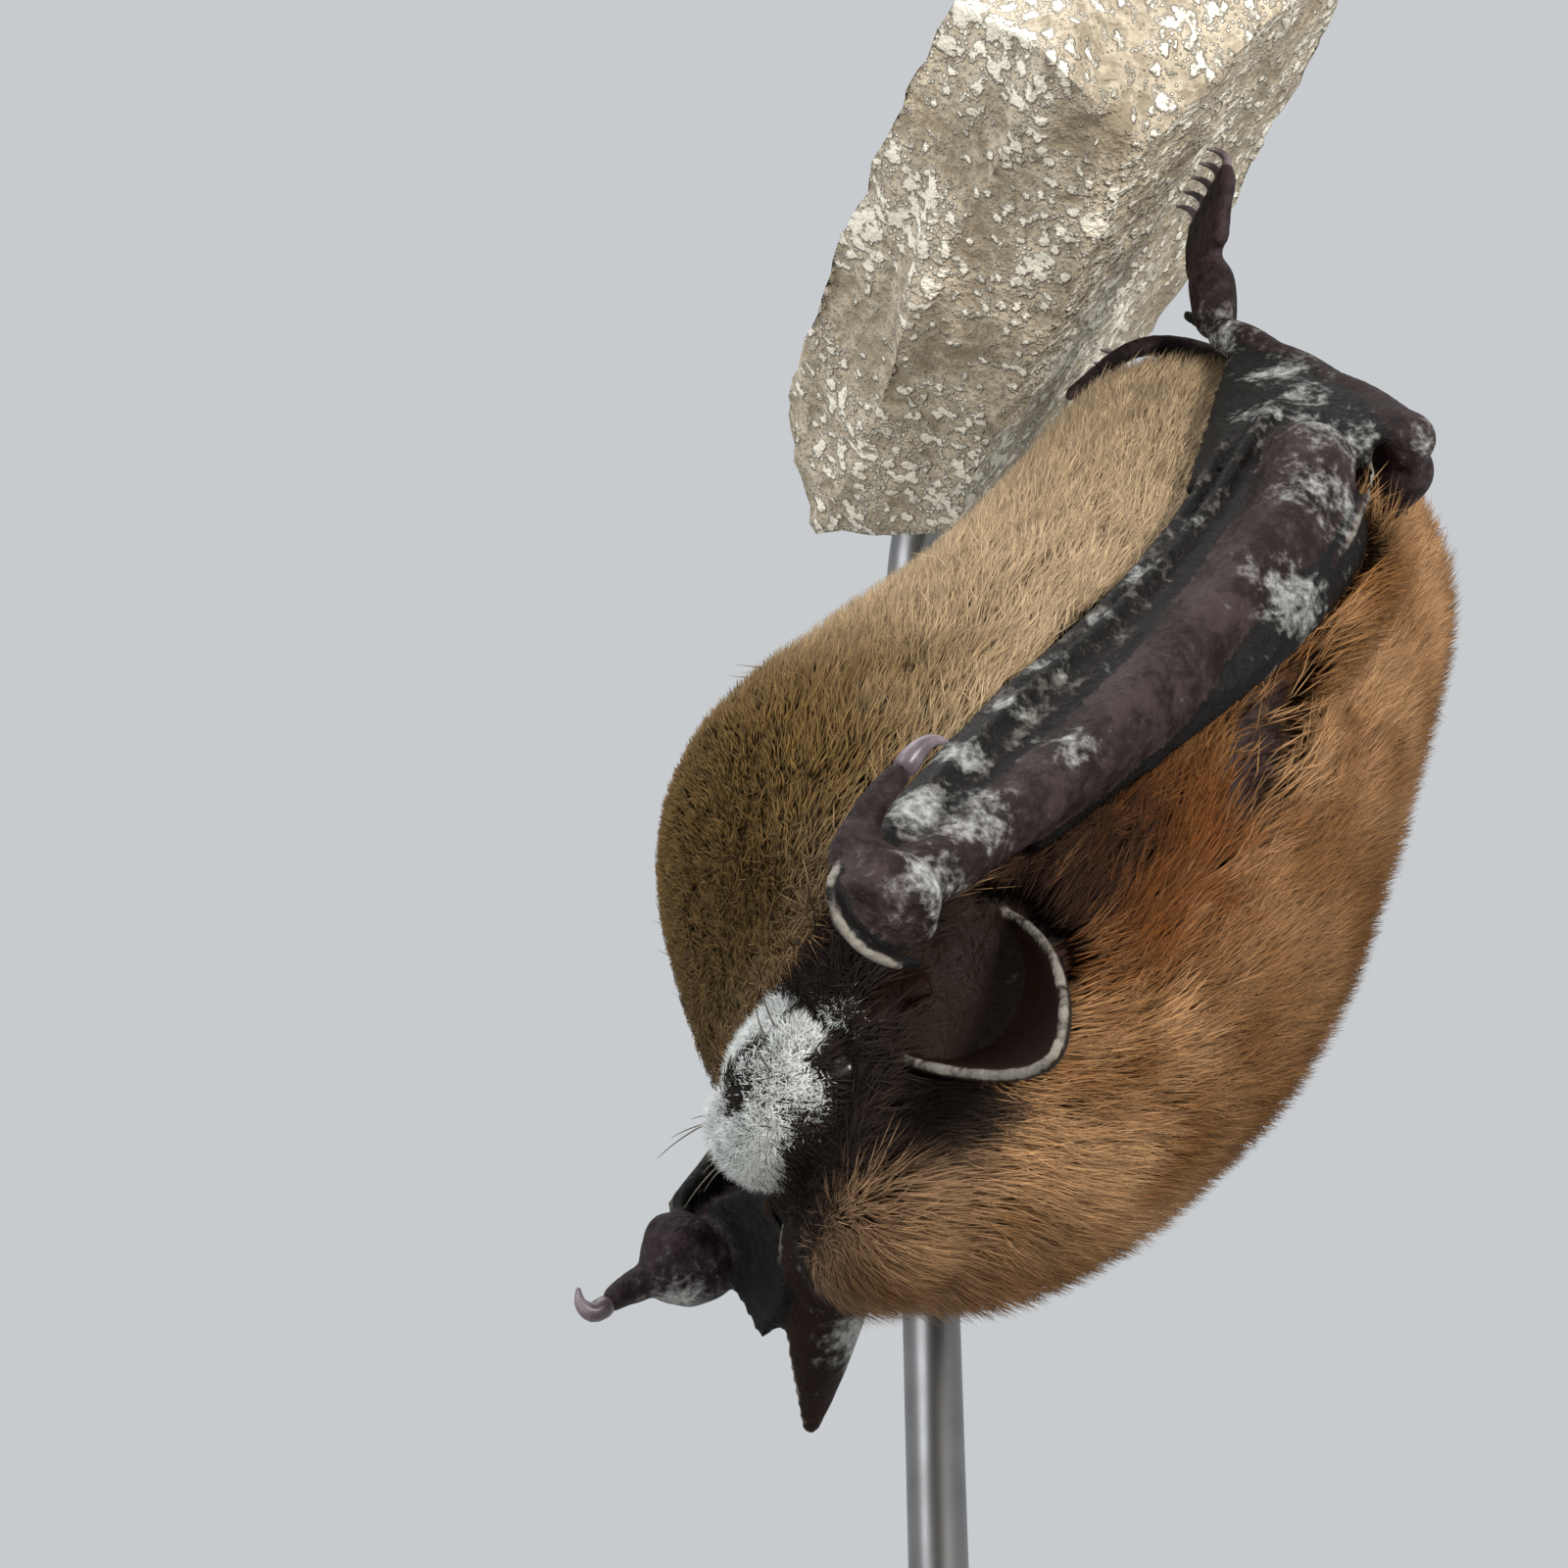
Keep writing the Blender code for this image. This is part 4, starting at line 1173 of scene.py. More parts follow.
    def tail(self) -> None:
        """Tail and the two halves of its skin."""
        self.tube(
            Tissue.LIMB,
            ((5.2, -14.0, 0.0), (1.9, -10.0, 0.3), (1.2, -5.4, 0.6), (3.4, -2.2, 0.9), (9.0, -1.4, 1.2)),
            (1.05, 0.8, 0.62, 0.5, 0.35), 1.0, spans=24,
        )
        for sign in SIDES.values():
            self.between(
                Tissue.WEB,
                ((3.4, -13.2, 0.9), (1.7, -9.6, 1.2), (1.2, -6.0, 1.4), (2.4, -2.9, 1.4)),
                ((9.0, -12.6, 7.4), (8.2, -10.2, 7.2), (7.4, -8.0, 6.6), (6.6, -6.0, 5.0)),
                sign, 18, 22, 0.0, 0.1,
            )

    @staticmethod
    def in_ear(places: np.ndarray) -> np.ndarray:
        """Whether places lie in the cup of an ear."""
        h, n, s = head_coordinates(places)
        return EARS[1.0].holds(h, n, s) | EARS[-1.0].holds(h, n, -s)

    @staticmethod
    def ear_point(sign: float, across: float, along: float) -> np.ndarray:
        """Point of an ear's middle surface."""
        h, n, s = EARS[sign].place(across, along)
        return head_point(h, n, sign * s)

    def ear(self, sign: float) -> None:
        """One ear with its tragus.

        Args:
            sign: 1 on the left, -1 on the right.
        """
        add_sheet(self.parts[Tissue.EAR], 36, 32, lambda u, w: self.ear_point(sign, u, w), self.ear_wall)
        for w in np.linspace(0.1, 1.0, 120):
            self.rim_highlight_points += [self.ear_point(sign, side, float(w)) for side in (-1.0, 1.0)]
        for side in (-1.0, 1.0):
            margin = [self.ear_point(sign, side, float(w)) for w in np.linspace(0.12, 1.0, 11)]
            add_tube(self.parts[Tissue.EAR], margin, (0.19,) * len(margin), sides=8, spans=60)
        root = ((-0.6, -2.0, 4.2), (0.6, -0.8, 4.4), (1.6, 0.6, 4.3))
        floor = [head_point(h, n, sign * side) for h, n, side in root]
        add_tube(self.parts[Tissue.EAR], floor, (2.0, 2.2, 1.6))
        self.rim_highlight_points += [self.ear_point(sign, float(u), 1.0) for u in np.linspace(-1.0, 1.0, 15)]

        def tragus(across: float, along: float) -> np.ndarray:
            """Point of the blunt lobe in the ear's opening.

            Args:
                across: place across it, -1 to 1.
                along: place along it, 0 to 1.

            Returns:
                The world point.
            """
            half = 0.85 * (1.0 - 0.75 * along ** 2)
            ahead = 0.8 if sign > 0 else 0.0
            return head_point(
                1.6 + ahead + 0.4 * along + half * across * 0.7,
                -1.5 - 0.7 * ahead + 2.3 * along + half * across * 0.6,
                sign * (5.5 + 3.1 * along - half * across * 0.4),
            )

        add_sheet(self.parts[Tissue.EAR], 6, 14, tragus, self.ear_wall)

    def grow_together(self) -> bpy.types.Object:
        """Join every part into one closed skin and store what kind of skin lies where.

        Returns:
            The skin.
        """
        joined = bmesh.new()
        trees: dict[Tissue, BVHTree] = {}
        for tissue, bm in self.parts.items():
            face_outwards(bm)
            trees[tissue] = BVHTree.FromBMesh(bm)
            mesh = bpy.data.meshes.new(tissue.value)
            bm.to_mesh(mesh)
            joined.from_mesh(mesh)
            bpy.data.meshes.remove(mesh)
            bm.free()
        skin = link_mesh("bat_skin", joined)
        remesh = skin.modifiers.new("Grow together", "REMESH")
        remesh.mode = "VOXEL"
        remesh.voxel_size = self.voxel
        mesh = bpy.data.meshes.new_from_object(skin.evaluated_get(bpy.context.evaluated_depsgraph_get()))
        skin.modifiers.clear()
        skin.data = mesh
        bm = bmesh.new()
        bm.from_mesh(mesh)
        for _ in range(3):
            bmesh.ops.smooth_vert(
                bm, verts=bm.verts, factor=0.5, use_axis_x=True, use_axis_y=True, use_axis_z=True,
            )
        soft, crown = [], []
        for vert in bm.verts:
            h, n, _ = (float(x[0]) for x in head_coordinates(np.array(vert.co)[None]))
            if h < 2.6 and trees[Tissue.FUR].find_nearest(vert.co, self.voxel)[0] is not None:
                soft.append(vert)
                if h > -7.0 and n > 1.0:
                    crown.append(vert)
        for verts, passes in ((soft, 40), (crown, 160)):
            for _ in range(passes):
                bmesh.ops.smooth_vert(
                    bm, verts=verts, factor=0.5, use_axis_x=True, use_axis_y=True, use_axis_z=True
                )
        bm.to_mesh(mesh)
        bm.free()
        LOG.info("skin before thinning: %d quads", len(mesh.polygons))
        thin = skin.modifiers.new("Thin out", "DECIMATE")
        thin.ratio = min(1.0, self.face_limit / (2.0 * len(mesh.polygons)))
        mesh = bpy.data.meshes.new_from_object(skin.evaluated_get(bpy.context.evaluated_depsgraph_get()))
        skin.modifiers.clear()
        skin.data = mesh
        mesh.name = "bat_skin"
        self.paint(mesh, trees)
        mesh.shade_smooth()
        self.limbs = trees
        return skin

    def paint(self, mesh: bpy.types.Mesh, trees: dict[Tissue, BVHTree]) -> None:
        """Store where the skin is furred, thin, an ear, a rim with a painted highlight or under fungal bloom.

        Args:
            mesh: the skin that is painted.
            trees: search trees of the tissues.
        """
        count = len(mesh.vertices)
        places = np.empty(3 * count)
        mesh.vertices.foreach_get("co", places)
        places = places.reshape(-1, 3)
        gaps = np.empty((len(Tissue), count))
        for row, tissue in enumerate(Tissue):
            find = trees[tissue].find_nearest
            for i, place in enumerate(places):
                hit = find(place, 3.0 * MM)
                gaps[row, i] = hit[3] if hit[3] is not None else 3.0 * MM
        nearest = gaps.argmin(axis=0)
        values = {tissue.value: (nearest == row).astype(float) for row, tissue in enumerate(Tissue)}
        values["fur"] *= 1.0 - 0.65 * bare_patch(places)
        cup = self.in_ear(places) & (values["fur"] > 0.5)
        values["fur"][cup], values["ear"][cup] = 0.0, 1.0
        # Painted highlight: the margins of the ears and folds that are drawn pale.
        rims = KDTree(len(self.rim_highlight_points))
        for i, point in enumerate(self.rim_highlight_points):
            rims.insert(point, i)
        rims.balance()
        near = np.array([rims.find(place)[2] for place in places])
        values["rim"] = (1.0 - ramp(near, 0.10 * MM, 0.30 * MM)) * (1.0 - values["fur"])
        a, v, s = body_coordinates(places)
        bloom = np.zeros(count)
        for ca, cv, cs, radius, strength in BLOOM_SPOTS:
            distance = np.sqrt((a - ca) ** 2 + (v - cv) ** 2 + (s - cs) ** 2)
            bloom = np.maximum(bloom, strength * hill(distance, radius))
        values["bloom"] = np.where(values["fur"] > 0.9, 0.95 * bloom_cover(places), bloom)
        for name, data in values.items():
            mesh.attributes.new(name, "FLOAT", "POINT").data.foreach_set("value", data.astype(np.float32))


def bare_patch(places: np.ndarray) -> np.ndarray:
    """How bare places are behind the forearm, where the skin of the upper arm shows.

    Args:
        places: world places, one a row.

    Returns:
        0 where it is furred to 1 where it is bare, at each place.
    """
    a, v, s = body_coordinates(places)
    ragged = np.array([noise.fractal(Vector(p) * 520.0, 1.0, 2.0, 3) for p in places])
    spot = hill(a - 31.5, 5.0) * hill(v + 19.4 + 0.2 * (a - 31.5), 2.0) * ramp(np.abs(s), 6.0, 8.0)
    return ramp(spot + 0.35 * ragged, 0.2, 0.75)


def bloom_cover(places: np.ndarray) -> np.ndarray:
    """How thickly the fungus grows over places on the muzzle.

    Args:
        places: world places, one a row.

    Returns:
        0 to 1 at each place.
    """
    h, n, s = head_coordinates(places)
    ragged = np.array([noise.fractal(Vector(p) * 420.0, 1.0, 2.0, 4) for p in places])
    start = 4.0 + 1.7 * ramp(n, 0.3, 2.0)
    cover = ramp(h - start + 1.5 * ragged, -0.9, 1.1) * ramp(n, -4.2, -3.0)
    cover = cover * (1.0 - ramp(n + 1.2 * ragged, 2.0, 4.0))
    cover *= 1.0 - 0.98 * ramp(h + 0.4 * ragged, 5.5, 6.3) * hill(n + 0.3, 1.25) * hill(s + 1.4, 1.5)
    cover *= 1.0 - 0.85 * ramp(h, 5.2, 6.2) * hill(n + 1.5, 0.4)
    patchy = 0.15 + 0.85 * ramp(ragged + 0.5 * ramp(n, 0.2, 1.4), -0.35, 0.25)
    return cover * patchy


# Where fungus grows on bare skin: body coordinates, reach and strength.
BLOOM_SPOTS = (
    (17.0, -13.6, -13.9, 2.8, 0.62), (21.5, -15.8, -14.2, 2.8, 0.62), (27.4, -17.0, -13.6, 2.0, 0.85),
    (41.0, -14.6, -14.2, 1.3, 0.66), (46.5, -13.6, -14.2, 1.8, 0.85), (50.6, -14.6, -14.6, 1.7, 1.0),
    (47.6, -12.2, -13.6, 1.4, 0.9), (44.0, -11.6, -13.2, 1.1, 0.95), (40.5, -11.8, -13.0, 0.8, 0.85),
    (37.0, -11.8, -12.6, 0.9, 0.9), (33.4, -11.9, -12.8, 0.7, 0.9), (29.6, -11.9, -12.4, 0.9, 0.9),
    (36.0, -13.2, -13.8, 0.7, 0.8), (26.0, -12.2, -12.4, 0.8, 0.8), (9.0, -6.5, -6.8, 2.2, 0.7),
    (12.2, -9.8, -10.4, 2.0, 0.8), (14.6, -11.6, -12.0, 1.6, 0.7), (17.4, -10.8, -11.6, 1.5, 0.75),
    (14.6, -17.4, -14.2, 1.6, 0.6), (53.5, -14.5, 13.0, 1.8, 0.85), (48.6, -18.8, 8.2, 2.2, 0.8),
    (17.0, -13.6, 13.9, 2.6, 0.7), (27.2, -17.0, 13.6, 2.2, 0.8), (46.5, -13.6, 14.2, 2.0, 0.7),
    (49.4, -20.3, 11.2, 2.4, 1.5), (50.2, -14.8, -14.4, 3.0, 0.5),
)


# The coat ---------------------------------------------------------------------------------------
BEND = math.radians(16.0)
KNEE_SHARE = 0.42
SUNK = 0.12 * MM
PATCH = 0.003


@dataclass
class Tufts:
    """Roots and growth of many small tufts."""

    root: np.ndarray
    normal: np.ndarray
    lie: np.ndarray
    length: np.ndarray
    width: np.ndarray
    rise: np.ndarray
    tone: np.ndarray

    def pick(self, index: np.ndarray) -> "Tufts":
        """The tufts at an index."""
        return Tufts(*(getattr(self, name)[index] for name in self.__dataclass_fields__))

    def build(self, name: str, unwrap: np.ndarray) -> bpy.types.Object:
        """Make one mesh of closed three-sided spindles, bent at their widest place.

        Args:
            name: the piece's name.
            unwrap: place of each root on the skin's unwrap, from 0 to 1.

        Returns:
            The object.
        """
        count = len(self.root)
        across = np.cross(self.normal, self.lie)
        across /= np.linalg.norm(across, axis=1, keepdims=True)
        knee = self.root + self.way(BEND) * (KNEE_SHARE * self.length)[:, None]
        tip = knee + self.way(-BEND) * ((1.0 - KNEE_SHARE) * self.length)[:, None]
        up = np.cross(self.way(0.0), across)
        verts = [self.root - self.normal * SUNK]
        for turn in (0.0, 2.0 * math.pi / 3.0, 4.0 * math.pi / 3.0):
            verts.append(knee + (across * math.cos(turn) + up * (0.6 * math.sin(turn))) * self.width[:, None])
        verts = np.stack(verts + [tip], axis=1)
        faces = np.array(((0, 2, 1), (0, 3, 2), (0, 1, 3), (1, 2, 4), (2, 3, 4), (3, 1, 4)))
        loops = ((np.arange(count) * 5)[:, None] + faces.ravel()[None]).ravel()
        mesh = bpy.data.meshes.new(name)
        mesh.vertices.add(5 * count)
        mesh.vertices.foreach_set("co", verts.astype(np.float32).ravel())
        mesh.loops.add(18 * count)
        mesh.loops.foreach_set("vertex_index", loops.astype(np.int32))
        mesh.polygons.add(6 * count)
        mesh.polygons.foreach_set("loop_start", np.arange(0, 18 * count, 3, dtype=np.int32))
        mesh.update(calc_edges=True)
        along = np.tile(np.array((0.0, KNEE_SHARE, KNEE_SHARE, KNEE_SHARE, 1.0), np.float32), count)
        mesh.attributes.new("along", "FLOAT", "POINT").data.foreach_set("value", along)
        tone = np.repeat(self.tone, 5).astype(np.float32)
        mesh.attributes.new("tone", "FLOAT", "POINT").data.foreach_set("value", tone)
        root = np.repeat(self.root, 5, axis=0).astype(np.float32)
        mesh.attributes.new("root", "FLOAT_VECTOR", "POINT").data.foreach_set("vector", root.ravel())
        corner = np.array(((0.5, 0.0), (0.0, 0.5), (0.5, 0.5), (1.0, 0.5), (0.5, 1.0)))
        patch = unwrap[:, None, :] + (corner[None] - 0.5) * PATCH
        uv = mesh.uv_layers.new(name="OFBake")
        uv.data.foreach_set("uv", patch.reshape(-1, 2)[loops].astype(np.float32).ravel())
        mesh.shade_smooth()
        mesh.validate()
        obj = bpy.data.objects.new(name, mesh)
        bpy.context.scene.collection.objects.link(obj)
        return obj

    def way(self, bend: float) -> np.ndarray:
        """Direction of growth, raised by a bend."""
        angle = (self.rise + bend)[:, None]
        return self.lie * np.cos(angle) + self.normal * np.sin(angle)

    def height(self) -> np.ndarray:
        """How far each tuft would rise for a length of 1."""
        return KNEE_SHARE * np.sin(self.rise + BEND) + (1.0 - KNEE_SHARE) * np.sin(self.rise - BEND)


def scatter(
    skin: bpy.types.Object, rng: np.random.Generator, count: int, density: Callable[[np.ndarray], np.ndarray]
) -> tuple[np.ndarray, np.ndarray]:
    """Scatter places over the furred part of the skin.

    Args:
        skin: the skin's object.
        rng: source of chance.
        count: how many places.
        density: how thickly they lie over an array of places.

    Returns:
        The places and the skin's normals there.
    """
    mesh = skin.data
    places = np.empty(3 * len(mesh.vertices))
    normals = np.empty(3 * len(mesh.vertices))
    mesh.vertices.foreach_get("co", places)
    mesh.vertices.foreach_get("normal", normals)
    places, normals = places.reshape(-1, 3), normals.reshape(-1, 3)
    fur = np.empty(len(mesh.vertices))
    mesh.attributes["fur"].data.foreach_get("value", fur)
    mesh.calc_loop_triangles()
    tris = np.empty(3 * len(mesh.loop_triangles), np.int32)
    mesh.loop_triangles.foreach_get("vertices", tris)
    tris = tris.reshape(-1, 3)
    tris = tris[fur[tris].mean(axis=1) > 0.3]
    corners = places[tris]
    first, second = corners[:, 1] - corners[:, 0], corners[:, 2] - corners[:, 0]
    areas = 0.5 * np.linalg.norm(np.cross(first, second), axis=1)
    chance = areas * density(corners.mean(axis=1))
    chosen = rng.choice(len(tris), count, p=chance / chance.sum())
    mix = rng.dirichlet((1.0, 1.0, 1.0), count)
    root = (corners[chosen] * mix[:, :, None]).sum(axis=1)
    normal = (normals[tris[chosen]] * mix[:, :, None]).sum(axis=1)
    normal /= np.linalg.norm(normal, axis=1, keepdims=True)
    return root, normal


@dataclass
class BatCoat:
    """The fur: fine tufts that lie from the head towards the feet.

    Angles are in degrees from the skin, widths and lengths in millimetres.
    """

    skin: bpy.types.Object
    trees: dict[Tissue, BVHTree]
    count: int = 226000
    pieces: int = 8
    seed: int = 11
    standing: float = 56.0
    laid: float = 16.0
    unruly: float = 11.0
    flattest: float = 17.0
    steepest: float = 72.0
    width: float = 0.047
    width_lost: float = 0.012
    shortest: float = 0.55
    longest: float = 3.4

    @staticmethod
    def density(places: np.ndarray) -> np.ndarray:
        """How thickly tufts stand: closest on the face, none on the nose.

        Args:
            places: world places, one a row.

        Returns:
            How many tufts an area gets, against others.
        """
        h, n, _ = head_coordinates(places)
        a, _, _ = body_coordinates(places)
        face = (a > 44.0) * (n > -5.0)
        thin = (1.0 - 0.9 * ramp(h, 5.6, 6.8) * face) * (1.0 - 0.95 * bare_patch(places))
        return (1.0 + 2.0 * ramp(h, 1.0, 4.5) * face) * thin * (1.0 - 0.78 * bloom_cover(places) * face)

    def sample(self, rng: np.random.Generator) -> Tufts:
        """Scatter roots over the furred skin and work out how each tuft grows.

        Args:
            rng: the random generator.

        Returns:
            The tufts.
        """
        root, normal = scatter(self.skin, rng, self.count, self.density)
        h, _, _ = head_coordinates(root)
        a, v, _ = body_coordinates(root)
        head = ramp(a, 41.0, 49.0)
        nose = CRANIAL * math.cos(HEAD_FLEXION) + VENTRAL * math.sin(HEAD_FLEXION)
        back = ramp(-v, 13.0, 20.0)
        flow = -(CRANIAL * (1.0 - head)[:, None] + nose * head[:, None])
        flow = flow + (0.35 * back * (1.0 - head))[:, None] * VENTRAL
        wander = np.array([tuple(noise.noise_vector(Vector(p) * 420.0)) for p in root])
        clumps = np.array([tuple(noise.noise_vector(Vector(p) * 1500.0)) for p in root])
        loose = 0.65 * wander + 0.80 * clumps + 0.28 * rng.standard_normal((self.count, 3))
        flow = flow + loose * (1.0 - 0.45 * head)[:, None]
        lie = flow - normal * (flow * normal).sum(axis=1, keepdims=True)
        lie /= np.linalg.norm(lie, axis=1, keepdims=True)
        short = ramp(h, -0.5, 4.6) * ramp(a, 43.0, 47.0)
        rise = np.radians(self.standing - self.laid * ramp(a, 44.0, 51.0) - self.laid * short)
        rise = rise + np.radians(self.unruly) * rng.standard_normal(self.count)
        rise = np.clip(rise, np.radians(self.flattest), np.radians(self.steepest))
        width = (self.width - self.width_lost * short) * MM * rng.uniform(0.7, 1.3, self.count)
        frosted = bloom_cover(root) * (h > 3.4) * (a > 44.0) > rng.uniform(0.35, 1.0, self.count)
        tone = rng.uniform(0.0, 1.0, self.count) + 1.5 * frosted
        tufts = Tufts(root, normal, lie, width, width, rise, tone)
        length = coat_depth(root) * MM / tufts.height() * rng.uniform(0.66, 1.06, self.count)
        length = length * (1.0 - 0.35 * frosted)
        tufts.length = np.clip(length, self.shortest * MM, self.longest * MM)
        return tufts

    def clear_limbs(self, tufts: Tufts) -> Tufts:
        """Shorten tufts that would pierce a limb, a wing skin or an ear, and drop the shortest.

        Args:
            tufts: the tufts as they were sampled.

        Returns:
            The tufts that are kept.
        """
        keep = np.ones(len(tufts.root), bool)
        ahead = tufts.way(0.0)
        for tissue in (Tissue.LIMB, Tissue.WEB, Tissue.FINGER, Tissue.EAR):
            cast = self.trees[tissue].ray_cast
            for i, (root, way) in enumerate(zip(tufts.root, ahead)):
                hit = cast(root, way, tufts.length[i])[3]
                if hit is not None:
                    tufts.length[i] = 0.9 * hit
                    keep[i] &= hit > 0.45 * MM
        return tufts.pick(keep)

    def build(self, material: bpy.types.Material) -> list[bpy.types.Object]:
        """Grow the coat in bands from the rump to the crown.

        Args:
            material: the finish it wears.

        Returns:
            The pieces.
        """
        rng = np.random.default_rng(self.seed)
        tufts = self.clear_limbs(self.sample(rng))
        a, v, s = body_coordinates(tufts.root)
        order = np.argsort(a)
        made = []
        for number, index in enumerate(np.array_split(order, self.pieces)):
            low, high = a[index].min(), a[index].max()
            turn = np.arctan2(s[index], v[index] + 15.0) / (2.0 * math.pi) + 0.5
            unwrap = np.stack((turn, (a[index] - low) / (high - low)), axis=1) * 0.99 + 0.005
            piece = tufts.pick(index).build("coat_%d" % (number + 1), unwrap)
            piece.data.materials.append(material)
            made.append(hand_over(piece, "fur_back"))
        return made


@dataclass
class FungalBloom:
    """White fuzz of fungus over the muzzle, with the nostrils and the mouth left open."""

    skin: bpy.types.Object
    count: int = 22000
    seed: int = 5
    reach: float = 6.0

    def build(self, material: bpy.types.Material) -> None:
        """Scatter short tufts over the muzzle.

        Args:
            material: the finish it wears.
        """
        rng = np.random.default_rng(self.seed)
        root, normal = scatter(self.skin, rng, self.count, bloom_cover)
        lie = rng.standard_normal(root.shape) - 0.5 * CRANIAL
        lie -= normal * (lie * normal).sum(axis=1, keepdims=True)
        lie /= np.linalg.norm(lie, axis=1, keepdims=True)
        rise = np.radians(rng.uniform(25.0, 75.0, self.count))
        length = rng.uniform(0.25, 0.75, self.count) * MM * (0.45 + 0.75 * bloom_cover(root))
        width = rng.uniform(0.016, 0.034, self.count) * MM
        tufts = Tufts(root, normal, lie, length, width, rise, rng.uniform(0.0, 1.0, self.count))
        _, n, s = head_coordinates(root)
        across, up = (s + self.reach) / (2.0 * self.reach), (n + self.reach) / (2.0 * self.reach)
        unwrap = np.stack((np.clip(across, 0.01, 0.99), np.clip(up, 0.01, 0.99)), axis=1)
        bloom = tufts.build("fungal_bloom", unwrap)
        bloom.data.materials.append(material)
        hand_over(bloom, "fur_face")


# Small pieces -----------------------------------------------------------------------------------
@dataclass
class Eyes:
    """The two small black eyes, almost shut."""

    radius: float = 0.78

    def build(self, material: bpy.types.Material) -> None:
        """Make each eye as a ball.

        Args:
            material: the finish it wears.
        """
        for side, sign in SIDES.items():
            bm = bmesh.new()
            bmesh.ops.create_uvsphere(bm, u_segments=24, v_segments=16, radius=self.radius * MM)
            middle = head_point(EYE_PLACE[0], EYE_PLACE[1], sign * (EYE_PLACE[2] - 0.3))
            bmesh.ops.translate(bm, verts=bm.verts, vec=Vector(middle))
            eye = link_mesh("eye_ball_" + side, bm)
            eye.data.materials.append(material)
            hand_over(eye, "eye", "eye_" + side)


@dataclass
class Claws:
    """Claws of the toes and thumbs."""

    def build(self, material: bpy.types.Material) -> None:
        """Make every claw as a curved taper.

        Args:
            material: the finish it wears.
        """
        bm = bmesh.new()
        for sign in SIDES.values():
            for number in range(5):
                a, v, s = BatSkin.toe_rows(number)[-1]
                steps = ((0.5, -0.3), (-0.3, 0.1), (-0.45, 0.65), (-0.1, 1.15))
                hook = [body_point(a + x, v + y, sign * s) for x, y in steps]
                add_tube(bm, hook, (0.26, 0.22, 0.15, 0.05), sides=8, spans=8)
            if sign < 0:
                hook = ((48.0, -10.9, 14.9), (47.0, -10.85, 15.3), (46.3, -11.0, 15.5), (45.9, -11.5, 15.6))
            else:
                hook = ((55.0, -12.1, 13.3), (55.9, -11.9, 13.3), (56.1, -11.3, 13.1), (55.7, -10.8, 12.9))
            hook = [body_point(x, y, sign * z) for x, y, z in hook]
            add_tube(bm, hook, (0.5, 0.42, 0.27, 0.08), sides=10, spans=10)
        claws = link_mesh("claws", bm)
        claws.data.materials.append(material)
        hand_over(claws, "wing_skin")


@dataclass
class Whiskers:
    """A few fine whiskers on the muzzle."""

    per_side: int = 7
    radius: float = 0.035
    seed: int = 3

    def build(self, material: bpy.types.Material) -> None:
        """Make every whisker as a curved taper.

        Args:
            material: the finish it wears.
        """
        rng = np.random.default_rng(self.seed)
        bm = bmesh.new()
        for sign in SIDES.values():
            for _ in range(self.per_side):
                root = np.array((rng.uniform(5.0, 6.4), rng.uniform(-2.0, 0.6), rng.uniform(2.2, 2.7)))
                way = np.array((rng.uniform(0.6, 1.3), rng.uniform(-0.9, 0.5), rng.uniform(0.7, 1.2)))
                way *= rng.uniform(2.4, 3.6) / np.linalg.norm(way)
                sag = np.array((-0.5, 0.4, 0.1))
                route = [root + way * t + sag * t * t for t in (0.0, 0.35, 0.7, 1.0)]
                add_tube(
                    bm, [head_point(h, n, sign * s) for h, n, s in route],
                    (self.radius, self.radius, 0.7 * self.radius, 0.3 * self.radius), sides=5, spans=8,
                )
        whiskers = link_mesh("whiskers", bm)
        whiskers.data.materials.append(material)
        hand_over(whiskers, "fur_face")


